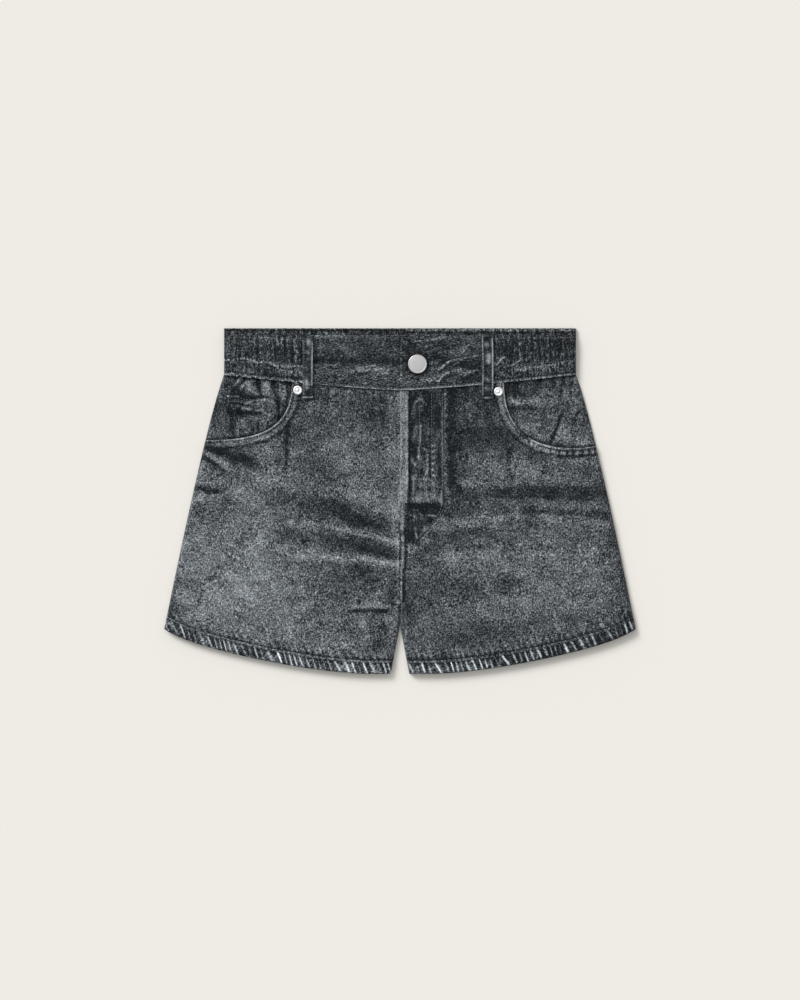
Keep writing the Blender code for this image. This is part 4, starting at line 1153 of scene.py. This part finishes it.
def plain_tone(side, x, y):
    whole_x, up = side * x, y - waist_seam(x)
    # Lighter where the cloth stands out and darker in its creases: partly wear, partly painted light and
    # shade.
    tone = PLAIN_TONE + 34.0 * standing_out(lambda a, b: plain_height(side, a, b), x, y, 2.0)
    seam = 92.0 if side > 0 else mix(20.0, 64.0, rise(x, 62, 54))
    tone += swells([Swell(6.0, 15.0, 62, 0.5)], whole_x, y)
    tone += traces([Trace(seam, 0.6, 0.8), Trace(-16.0, 2.6, 1.0)], up)
    # A dark ring on the cloth just outside the button's rim: painted shadow of the button.
    round_button = np.hypot(whole_x - BUTTON_PLACE[0], y - BUTTON_PLACE[1])
    tone += traces([Trace(-24.0, 10.2, 1.7)], round_button)
    return drawn(tone, PLAIN_WASH, PLAIN_LINES, side, x, y, DARKEST)


def waistband_front(side):
    name = SIDES[side]
    start, end = GAP / 2, ELASTIC_START[side] - GAP / 2
    shares = np.concatenate([[0, 0.006], np.linspace(0.016, 0.984, 84), [0.994, 1.0]])[:, None]
    columns = np.linspace(start, end, 130)
    x = np.broadcast_to(columns, (len(shares), len(columns)))
    y = mix(waist_seam(x) + GAP / 2, FRONT_TOP, shares)
    face = placed(side, x, y, plain_height(side, x, y))
    back = placed(side, x, y, band_top(side, x) - BAND)
    wall(f"waistband_front_{name}", face, back, plain_tone(side, x, y), PLAIN_DENIM)


GATHERED_WASH = stroke_table(
    # the wearer's right
    (-172, 128, -150, 130, 4, 6), (-116, 128.5, -98, 128, 2.6, 26), (-134, 130, -128, 127, 3, -18),
    (-154, 131, -150, 129, 2.4, 20), (-150, 158, -142, 158, 3, 16), (-132, 157, -124, 156, 3, 18),
    (-120, 146, -112, 146, 5, -12), (-176, 146, -150, 146, 4, -8),
    # the wearer's left
    (132, 158, 174, 160, 7, -16), (134, 158, 137, 157, 5, 18), (156, 148, 164, 143, 6, -16),
    (106, 148, 114, 142, 5, -14), (120, 160, 160, 150, 9, -8), (120, 158, 122, 146, 4, 8),
    (94, 152, 112, 148, 6, -9), (150, 156, 150, 144, 3, 12), (112, 128, 126, 128, 2.6, -12),
    (146, 133, 152, 134, 2.2, 24), (108, 125, 112, 123, 3, 14),
)
GATHERED_LINES = line_table(
    (1, -42, -115, 166, -115, 139), (1, -42, -108.5, 162, -108, 139), (1.2, -34, -98.5, 166, -98, 137),
    (0.9, -34, -125, 159, -125, 142), (0.9, -32, -141, 160, -141, 144), (0.9, -30, -160, 164, -160, 146),
    (1, -20, -132, 152, -97, 152.4), (1, 22, -150, 164, -136, 164, -122, 161, -100, 161),
    (1.1, -28, 110, 152, 110, 118), (0.9, 28, 112.2, 134, 112.2, 122),
    (1, 84, 96.2, 136.4, 99.9, 140.3, 104.5, 144), (1, 84, 111, 135.7, 116.6, 138.6, 121.2, 142.4),
    (2.6, 26, 97, 131, 104, 126), (1, 50, 156, 139, 159, 142, 162, 147), (1, -34, 124, 154, 124, 140),
    (1, -24, 131, 166, 131, 150), (1, -24, 139, 164, 139, 148), (1, -20, 160, 164, 161, 150),
)
ELASTIC_LINES = line_table(
    (1, 95, -176, 141, -167, 140.6, -160, 142.6, -150, 142, -143, 138),
    (1, 95, -143, 138, -137, 139.4, -130, 138.6, -124, 135, -110, 134.6, -98, 135),
    (1.5, 62, 110, 130, 125, 132, 145, 135, 155, 137, 176, 140),
)


def gather(share, count):
    """A row of gathers with uneven spacing: round crests and tighter valleys."""
    turns = math.tau * (count * share + 0.12 * np.sin(math.tau * 2.6 * share))
    return np.sin(turns) + 0.22 * np.cos(2.0 * turns) - 0.1


def gathered_lift(side, x, share):
    """Relief of a gathered side of the waistband; share runs from the waist seam up."""
    start = ELASTIC_START[side] + GAP / 2
    along = (x - start) / (WAIST_HALF - start)
    up = 40.0 * share
    rows, lifts, gathers = zip(*GATHERED_ROWS)
    lean = 0.25 * np.sin(3.0 * share + 6.0 * along + side)
    uneven = 0.6 + 0.4 * ripple(x, up, 17.0, 70 + side, 1.4)
    wave = GATHER * gather(along + lean / SIDE_GATHERS, SIDE_GATHERS) * uneven
    crinkle = 0.26 * ripple(x, up, 3.6, 71 + side, 3.4) + 0.2 * ripple(x, up, 6.5, 73, 1.8)
    lift = np.interp(share, rows, lifts) + np.interp(share, rows, gathers) * (0.62 * wave + crinkle)
    return lift * ease((x - start - 4.0) / 6.0)


def seam_edge_tone(side, x, up):
    """The worn lower edge of a gathered side: beads on the wearer's left, waves on the right."""
    wave = 0.5 + 0.5 * uneven_sine(x, 0.75, 1.7, 5.0)
    if side > 0:
        return traces([Trace(50.0 + 50.0 * wave, 1.2, 0.9), Trace(-30.0, 3.2, 1.0)], up)
    return traces([Trace(92.0, 0.6 + 1.5 * wave, 0.8), Trace(-20.0, 4.0 + wave, 1.2)], up)


def gathered_share(x, y):
    return (y - waist_seam(x) - GAP / 2) / (FRONT_TOP - waist_seam(x) - GAP / 2)


def gathered_height(side, x, y, layer=0.0):
    """Outer face of a gathered side, or the plain face of a layer inside it."""
    lift = -layer if layer else gathered_lift(side, x, gathered_share(x, y))
    return mix(BACK_BAND + BACK_GATHER + GAP, BAND_TOP + lift, turn(WAIST_HALF - x, layer, BAND_ROLL))


def gathered_tone(side, x, y):
    whole_x, up, share = side * x, y - waist_seam(x), gathered_share(x, y)
    lift = gathered_lift(side, x, share)
    around = (gathered_lift(side, x - 1.6, share) + gathered_lift(side, x + 1.6, share)) / 2
    # Darker in the valleys of the gathers and lighter on their crests: partly dye held in the valleys and
    # wear on the crests, partly painted shade in the valleys.
    tone = GATHERED_TONE + 20.0 * (lift - around) + 6.0 * np.clip(lift, -1, 1)
    tone += lines(ELASTIC_LINES, whole_x, y) * (0.6 + 0.4 * uneven_sine(x, 1.7, 2.0, 6.0))
    tone += seam_edge_tone(side, x, up)
    tone += swells([Swell(8.0, 9.0, 74, 0.8), Swell(6.0, 4.0, 75, 0.6)], whole_x, y)
    return drawn(tone, GATHERED_WASH, GATHERED_LINES, side, x, y, DARKEST_GATHERS)


def waistband_side(side):
    name = SIDES[side]
    start = ELASTIC_START[side] + GAP / 2
    along = 1.0 - (1.0 - np.linspace(0.0, 1.0, 190)) ** 1.12
    shares = np.concatenate([[0.0, 0.01], np.linspace(0.025, 0.985, 74), [1.0]])[:, None]
    layers = []
    for layer in (BAND, 0.0):
        x = np.broadcast_to(mix(start, WAIST_HALF - layer, along), (len(shares), len(along)))
        y = mix(waist_seam(x) + GAP / 2, FRONT_TOP, shares)
        layers.append(placed(side, x, y, gathered_height(side, x, y, layer)))
    back, face = layers
    wall(f"waistband_side_{name}", face, back, gathered_tone(side, x, y), GATHERED_DENIM)


def waistband_back():
    share = np.linspace(0.0, 1.0, 421)
    rows = np.concatenate([np.linspace(0.0, 0.8, 12), np.linspace(0.82, 1.0, 18)])[:, None]
    x = np.broadcast_to(mix(-WAIST_HALF, WAIST_HALF, share), (len(rows), len(share)))
    wave = gather(share, BACK_GATHERS) + 0.35 * ripple(x, 0 * x, 5.0, 81)
    y = mix(BACK_SEAM + GAP / 2, WAIST_TOP - EDGE_WAVE + EDGE_WAVE * np.clip(wave, -1, 1), rows)
    strength = ease(rows / 0.85)
    below_top = (1.0 - rows) * (WAIST_TOP - BACK_SEAM)
    z = BACK_BAND + strength * BACK_GATHER * wave - rounded(below_top, 1.2, 2.0)
    # the lines of its top edge: dark behind the wearer's right half, worn and ribbed behind the left
    below = WAIST_TOP - y
    ribs = 0.5 + 0.5 * ripple(x, 0.15 * y, 3.4, 82)
    worn = rise(x, 4, 10)
    # Lighter on the crests of the gathers and darker in their valleys: partly dye and wear, partly painted
    # shade.
    tone = BACK_BAND_TONE + 9.0 * wave * strength + 14.0 * (ribs - 0.5)
    tone += swells([Swell(12.0, 7.0, 83)], x, y)
    edge = Trace(mix(-34.0, 26.0 + 24.0 * ribs, worn), mix(2.1, 1.9, worn), 0.9)
    tone += traces([edge, Trace(-30.0 * worn, 4.3, 0.9)], below)
    wall("waistband_back", placed(1, x, y, z), placed(1, x, y, 0.0), np.maximum(tone, DARKEST_BACK),
         GATHERED_DENIM)


# Back and hems


BACK_GRID = (90, 76)


def back_panel(side):
    name = SIDES[side]
    high = BACK_SEAM - GAP / 2
    rows, columns = BACK_GRID
    side_y, middle_y = (np.linspace(high, hem_seam(share)[1], rows) for share in (0.0, 1.0))
    lefts, rights = path(side_seam(side_y), side_y), path(inseam(middle_y), middle_y)

    def top(share):
        return mix(WAIST_HALF, GAP / 2, share), high + 0 * share

    shares = np.broadcast_to(np.linspace(0.0, 1.0, columns), BACK_GRID)
    x, y = grid_between(lefts, rights, top, hem_seam, shares)
    tone = LEG_TONE + swells([Swell(8.0, 40.0, 91), Swell(5.0, 15.0, 92)], side * x, y)
    wall(f"back_{name}", placed(side, x, y, CLOTH), placed(side, x, y, 0.0), tone, LEG_DENIM)


def hem_lift(side, x, up):
    """Relief of a turned hem: leaning puckers, a stitched line near its top and a rounded lower edge."""
    strength = np.interp(up / HEM_DEEP, (0.0, 0.2, 0.8, 1.0), (0.5, 1.0, 1.0, 0.4))
    turns = math.tau * hem_phase(side, x, up)
    wave = np.sin(turns) + 0.3 * np.sin(2.0 * turns + 1.0)
    below_top = HEM_DEEP - up
    channel = 0.3 * bell(below_top - HEM_STITCH, 0.7)
    return strength * HEM_PUCKER * wave - rounded(up, 0.9, 2.2) - rounded(below_top, 0.4, 1.0) - channel


def hem_height(side, x, y):
    """Outer face of a front hem at a point of the half."""
    up = y - hem_edge(x)
    risen = turn(side_seam(y) - x, 0.0, BAND_ROLL) * turn(x - inseam(y), 0.0, BAND_ROLL)
    return mix(TURNED + GAP, HEM_TOP + hem_lift(side, x, up), risen)


# The streaks of each hem: how strong each is, and how narrow
STREAK_COUNT = 64
STREAKS = np.random.default_rng(7).uniform(0.3, 1.25, (2, STREAK_COUNT))
STREAK_FORMS = np.random.default_rng(19).uniform(1.6, 9.0, (2, STREAK_COUNT))


def hem_tone(side, x, up):
    """Worn light streaks on the crests of a roped hem, each of its own strength and width."""
    whole_x, below_top, leg = side * x, HEM_DEEP - up, (side + 1) // 2
    turns = hem_phase(side, x, up)
    number = np.clip(np.floor(turns + 0.25), 0, STREAK_COUNT - 1).astype(int)
    form = STREAK_FORMS[leg][number]
    streak = (124.0 + 8.0 * form) * (0.5 + 0.5 * np.sin(math.tau * turns)) ** form * STREAKS[leg][number]
    low = rise(up, 0.0, 2.0) * rise(below_top, 1.6, 3.6)
    tone = HEM_TONE + streak * mix(0.15, 1.0, low)
    tone += 16.0 * np.sin(math.tau * (2.1 * turns + 0.3 * up)) * low
    tone += 23.0 if side < 0 else 10.0 * rise(x, 110, 80)
    patchy = np.clip(0.5 + swells([Swell(1.2, 11.0, 101 + side)], whole_x, 0.4 * up), 0.0, 1.4)
    frayed = np.clip(0.4 + swells([Swell(1.0, 9.0, 103 + side)], whole_x, 0 * x), 0.0, 1.0)
    dots = 0.5 + 0.5 * uneven_sine(x, 1.7, 1.5, 7.0)
    middle = traces([Trace(4.0, 45, 42)], x)
    # The last trace darkens the hem's lower edge towards the side: painted shade.
    tone += traces([Trace(36.0 * patchy, 5.0, 5.0), Trace(middle, 6.0, 6.0), Trace(40.0 * frayed, 0.8, 1.0),
                    Trace(-20.0 * rise(x, 100, 130), 0.0, 3.0)], up)
    tone += traces([Trace(34.0 + 46.0 * dots, 1.2, 0.8), Trace(-24.0, 3.0, 0.9)], below_top)
    return np.maximum(tone + swells([Swell(10.0, 6.0, 105)], whole_x, up), DARKEST_GATHERS)


def hem_front(side):
    name = SIDES[side]
    width = HEM_HALF - float(inseam(HEM_LOW))
    along = np.linspace(0.0, 1.0, 400)
    along = along - 0.012 * np.sin(math.tau * along)
    shares = np.concatenate([[0, 0.01, 0.035, 0.07, 0.12], np.linspace(0.18, 0.94, 15), [0.975, 1.0]])
    ups = HEM_DEEP * shares
    up = np.broadcast_to(ups[:, None], (len(ups), len(along)))
    layers = []
    for layer in (TURNED, 0.0):
        place = np.broadcast_to(mix(layer / width, 1.0 - layer / width, along), up.shape)
        x, y = hem_point(place, up)
        risen = turn(width * (1.0 - place), layer, BAND_ROLL) * turn(width * place, layer, BAND_ROLL)
        lift = -layer if layer else hem_lift(side, x, up)
        layers.append(placed(side, x, y, mix(TURNED + GAP, HEM_TOP + lift, risen)))
    back, face = layers
    wall(f"hem_front_{name}", face, back, hem_tone(side, x, up), PLAIN_DENIM)


HEM_BACK_GRID = (8, 200)
BACK_HEM_SHADE = 20.0


def hem_back(side):
    name = SIDES[side]
    rows, columns = HEM_BACK_GRID
    place = np.broadcast_to(np.linspace(0.0, 1.0, columns), HEM_BACK_GRID)
    up = np.broadcast_to(np.linspace(BACK_HEM_SHORT, HEM_DEEP, rows)[:, None], HEM_BACK_GRID)
    x, y = hem_point(place, up)
    wave = 0.25 * np.sin(math.tau * hem_phase(side, x, up)) * ease((up - BACK_HEM_SHORT) / 3.0)
    face = placed(side, x, y, TURNED + np.minimum(wave, 0.15))
    wall(f"hem_back_{name}", face, placed(side, x, y, 0.0), hem_tone(side, x, up) - BACK_HEM_SHADE,
         PLAIN_DENIM)


# Belt loops


LOOP_ARCH = 1.1
LOOP_GRID = (121, 31)
LOOP_WASH = stroke_table(
    (-92.6, 149, -91, 147.6, 1.7, 14), (-93, 108, -92, 106, 4, -12), (88, 154, 88, 146, 4, -10),
    (86, 106.5, 91, 106.5, 2.4, -30),
)
LOOP_LINES = line_table(
    (0.7, 66, -96.4, 103.5, -87.4, 103.9), (0.8, 112, -87.4, 157, -87.8, 141, -88.2, 116),
    (0.9, 24, -96.6, 160, -96.6, 104), (0.9, 50, -96, 103.6, -88, 103.6),
    (2.6, 80, -92, 159.4, -91.2, 157.2), (1.6, 44, -92.6, 149, -91.2, 148),
    (1.6, 40, -93.4, 141.4, -92.6, 140.6), (1.8, 42, -93.8, 132.4, -93, 131.6),
    (2.4, 92, -93.6, 120, -93.4, 114), (0.8, 66, 82.2, 165, 82.1, 158, 83.2, 140, 83, 122, 82.6, 106),
    (0.8, 128, 92, 162, 92.6, 152, 92.8, 120, 92.4, 113), (0.9, 78, 84.4, 102.9, 89.6, 102.9),
    (2.2, 64, 86.2, 156.2, 86.8, 155.6), (2.6, 112, 88.5, 144.6, 88.1, 140),
    (2.2, 30, 87.4, 131, 88.2, 128), (1.7, 60, 86.2, 122, 88.4, 120.4),
    (1.9, 50, 85.8, 112.8, 88.4, 112.2), (0.9, -30, 84.6, 151, 91, 151.4),
    (0.9, -30, 84.6, 134.6, 91, 135.6), (0.9, -34, 84.6, 117.4, 91, 117),
)


def loop_base(side, x, y):
    """Underside of a belt loop, and how far out a place is, as a share of the loop's half width."""
    inner, outer = LOOP_SPAN[side]
    middle = (inner + outer) / 2
    seam = float(waist_seam(middle))
    along = np.clip((LOOP_TOP - y) / (LOOP_TOP - seam), 0.0, 1.0)
    band = band_top(side, middle) + GAP + LOOP_ARCH * np.sin(math.pi * along)
    under = mix(band, loft(side, x, y) + GAP, ease((seam - 0.8 - y) / 3.0))
    return under, np.abs(x - middle) / ((outer - inner) / 2)


def loop_height(side, x, y):
    under, across = loop_base(side, x, y)
    shape = 0.2 * bell(across - 0.72, 0.2) - rounded((1.0 - across) * 5.0, 0.35, 0.8)
    return under + LOOP_CLOTH + shape + 0.18 * ripple(x, y, 9.0, 111 + side, 1.3)


def belt_loop(side):
    name = SIDES[side]
    inner, outer = LOOP_SPAN[side]
    rows, columns = LOOP_GRID
    x = np.broadcast_to(np.linspace(inner, outer, columns), LOOP_GRID)
    y = np.broadcast_to(np.linspace(LOOP_TOP, LOOP_FOOT, rows)[:, None], LOOP_GRID)
    under, across = loop_base(side, x, y)
    top = loop_height(side, x, y) - rounded(LOOP_TOP - y, 0.5, 1.0) - rounded(y - LOOP_FOOT, 0.5, 1.0)
    tone = LOOP_TONE + traces([Trace(12.0, 0.9, 0.1), Trace(-14.0, 0.66, 0.14)], across)
    tone += swells([Swell(10.0, 9.0, 113 + side, 1.2)], x, y)
    tone = drawn(tone, LOOP_WASH, LOOP_LINES, side, x, y, DARKEST_LOOP)
    wall(f"belt_loop_{name}", placed(side, x, y, top), placed(side, x, y, under), tone, LOOP_DENIM)


# Hard pieces


# Radius and height, from the middle of the outer side round to the middle of the inner one
BUTTON_PROFILE = (
    (0.0, 4.12), (3.0, 4.1), (6.0, 4.02), (7.8, 3.92), (8.1, 3.86), (8.4, 4.02), (8.8, 4.05), (9.15, 3.85),
    (9.4, 3.5), (9.5, 3.1), (9.4, 2.8), (9.0, 2.5), (8.2, 2.2), (4.6, 2.0), (4.2, 1.2),
    (4.6, 0.5), (5.4, 0.0), (0.0, 0.0),
)
RIVET_PROFILE = (
    (0.0, 1.9), (0.5, 1.88), (0.9, 1.74), (1.2, 1.4), (1.5, 0.9), (1.9, 0.62), (2.3, 0.72), (2.8, 0.98),
    (3.4, 1.04), (4.0, 0.98), (4.35, 0.7), (4.6, 0.3), (4.6, 0.0), (0.0, 0.0),
)
TURNED_STEPS = 96


def turned(name, node, profile, place, finish):
    """A round piece turned about an upright axis."""
    angles = np.linspace(0.0, math.tau, TURNED_STEPS, endpoint=False)
    points = [(0.0, 0.0, profile[0][1])]
    for radius, up in profile[1:-1]:
        points += [(radius * math.cos(angle), radius * math.sin(angle), up) for angle in angles]
    points.append((0.0, 0.0, profile[-1][1]))
    ring = np.arange(TURNED_STEPS)
    ahead = np.roll(ring, -1)
    last = 1 + (len(profile) - 3) * TURNED_STEPS
    faces = np.stack([0 * ring, ring + 1, ahead + 1], -1).tolist()
    for high in range(1, last, TURNED_STEPS):
        low = high + TURNED_STEPS
        faces += np.stack([ring + high, ring + low, ahead + low, ahead + high], -1).tolist()
    faces += np.stack([ring + last, 0 * ring + len(points) - 1, ahead + last], -1).tolist()
    piece = new_piece(name, np.array(points) + place, faces, finish, (node,))
    piece.data.set_sharp_from_angle(angle=math.radians(50))


def hard_pieces():
    turned("button_cap", "button", BUTTON_PROFILE, (*BUTTON_PLACE, BAND_TOP + OVERLAP_LIFT + GAP),
           BUTTON_METAL)
    for side, name in SIDES.items():
        x, y = RIVET_PLACE[side]
        base = float(loft(side, x, y)) + FOLDED_EDGE + GAP
        turned(f"rivet_cap_{name}", f"rivet_{name}", RIVET_PROFILE, (side * x, y, base), RIVET_METAL)


# Sewing


SIDE_STITCH_SHARES = (0.05, 0.36, 0.93)
LOOP_STITCH = 1.7


def sew_half(side):
    name, start, (inner, outer) = SIDES[side], ELASTIC_START[side], LOOP_SPAN[side]

    def face(half, x, y):
        return settle(x, y, front_face(half, x, y), 0.0, 0.0, CLOTH + GAP, EDGE_ROLL)

    edge = path(*pocket_edge(side, np.linspace(0.06, 0.985, 60)))
    run = np.gradient(edge, axis=0)
    normal = np.stack([run[:, 1], -run[:, 0]], -1) / np.hypot(*run.T)[:, None]
    stitches(f"stitches_pocket_{name}", [(side, edge + normal * away, face) for away in POCKET_STITCHES])
    x = np.linspace(9.5, 230.0, 120)
    stitches(f"stitches_hem_{name}", [(side, path(x, hem_edge(x) + HEM_DEEP - HEM_STITCH), hem_height)])
    x = np.linspace(1.0, start - 1.0, 60)
    rows = (waist_seam(x) + BAND_STITCH, FRONT_TOP - BAND_TOP_STITCH)
    band = [(side, path(x, y), plain_height) for y in rows]
    x = np.linspace(start + 1.0, WAIST_HALF - 2.5, 60)
    band += [(side, path(x, mix(waist_seam(x) + GAP / 2, FRONT_TOP, share)), gathered_height)
             for share in SIDE_STITCH_SHARES]
    stitches(f"stitches_waist_{name}", band)
    y = np.linspace(LOOP_TOP - 1.5, LOOP_FOOT + 1.5, 60)
    loop = [(side, path(x, y), loop_height) for x in (inner + LOOP_STITCH, outer - LOOP_STITCH)]
    stitches(f"stitches_loop_{name}", loop, pitch=2.9, length=2.1, radius=0.25)


def sew():
    for side in SIDES:
        sew_half(side)
    y = np.linspace(SEAM_MIDDLE - 3.0, -6.0, 60)
    fly = [(1, path(x, y), fly_height) for x in FLY_STITCHES[:2]]
    y = np.linspace(SEAM_MIDDLE - 3.0, -39.0, 120)
    stitches("stitches_fly", [*fly, (1, path(fly_right(y) - 1.2, y), fly_height)])
    x = np.linspace(COIN_OUTER - 1.0, COIN_INNER + 7.0, 60)
    coin = [(-1, path(x, coin_high_edge(x) - away), coin_height) for away in COIN_STITCHES]
    stitches("stitches_coin_pocket", coin)
    y = np.linspace(-30.0, CROTCH + 3.0, 60)
    stitches("stitches_middle", [(1, path(1.8, y), front_face)])


# Floor, light and camera


Lamp = namedtuple("Lamp", "name spread_degrees strength direction")
LAMPS = (
    Lamp("key", 26.0, 2.5, (1.08, -1.15, -1.06)),
    Lamp("fill", 120.0, 0.85, (0.6, -0.65, -1.05)),
)
FLOOR_COLOR = (0.80, 0.775, 0.728, 1.0)
FLOOR_METRES = 30.0
FLOOR_BELOW = 0.0002
SKY_COLOR = (1.0, 0.995, 0.985, 1.0)
SKY_STRENGTH = 0.43
CAMERA_PLACE = (0.0, 0.001, 2.784)
CAMERA_LENS = 100.0


def studio():
    bpy.ops.mesh.primitive_plane_add(size=FLOOR_METRES, location=(0.0, 0.0, -FLOOR_BELOW))
    floor = bpy.context.object
    floor.name = "floor"
    made, _, shader = shader_tree("floor")
    shader.inputs["Base Color"].default_value = FLOOR_COLOR
    shader.inputs["Roughness"].default_value = 1.0
    shader.inputs["Specular IOR Level"].default_value = 0.0
    floor.data.materials.append(made)

    scene = bpy.context.scene
    for row in LAMPS:
        light = bpy.data.lights.new(row.name, "SUN")
        light.angle = math.radians(row.spread_degrees)
        light.energy = row.strength
        lamp = bpy.data.objects.new(row.name, light)
        lamp.rotation_euler = Vector(row.direction).to_track_quat("-Z", "Y").to_euler()
        scene.collection.objects.link(lamp)

    world = bpy.data.worlds.new("studio")
    world.use_nodes = True
    sky = world.node_tree.nodes["Background"]
    sky.inputs["Color"].default_value = SKY_COLOR
    sky.inputs["Strength"].default_value = SKY_STRENGTH
    scene.world = world

    lens = bpy.data.cameras.new("camera")
    lens.lens = CAMERA_LENS
    lens.sensor_width = 36.0
    lens.clip_end = 20.0
    camera = bpy.data.objects.new("camera", lens)
    camera.location = CAMERA_PLACE
    scene.collection.objects.link(camera)
    scene.camera = camera
    scene.view_settings.view_transform = "Standard"


studio()
for half in SIDES:
    back_panel(half)
    hem_back(half)
    front_panel(half)
    hem_front(half)
    pocket_facing(half)
    waistband_front(half)
    waistband_side(half)
    belt_loop(half)
waistband_back()
coin_pocket()
fly_placket()
hard_pieces()
sew()
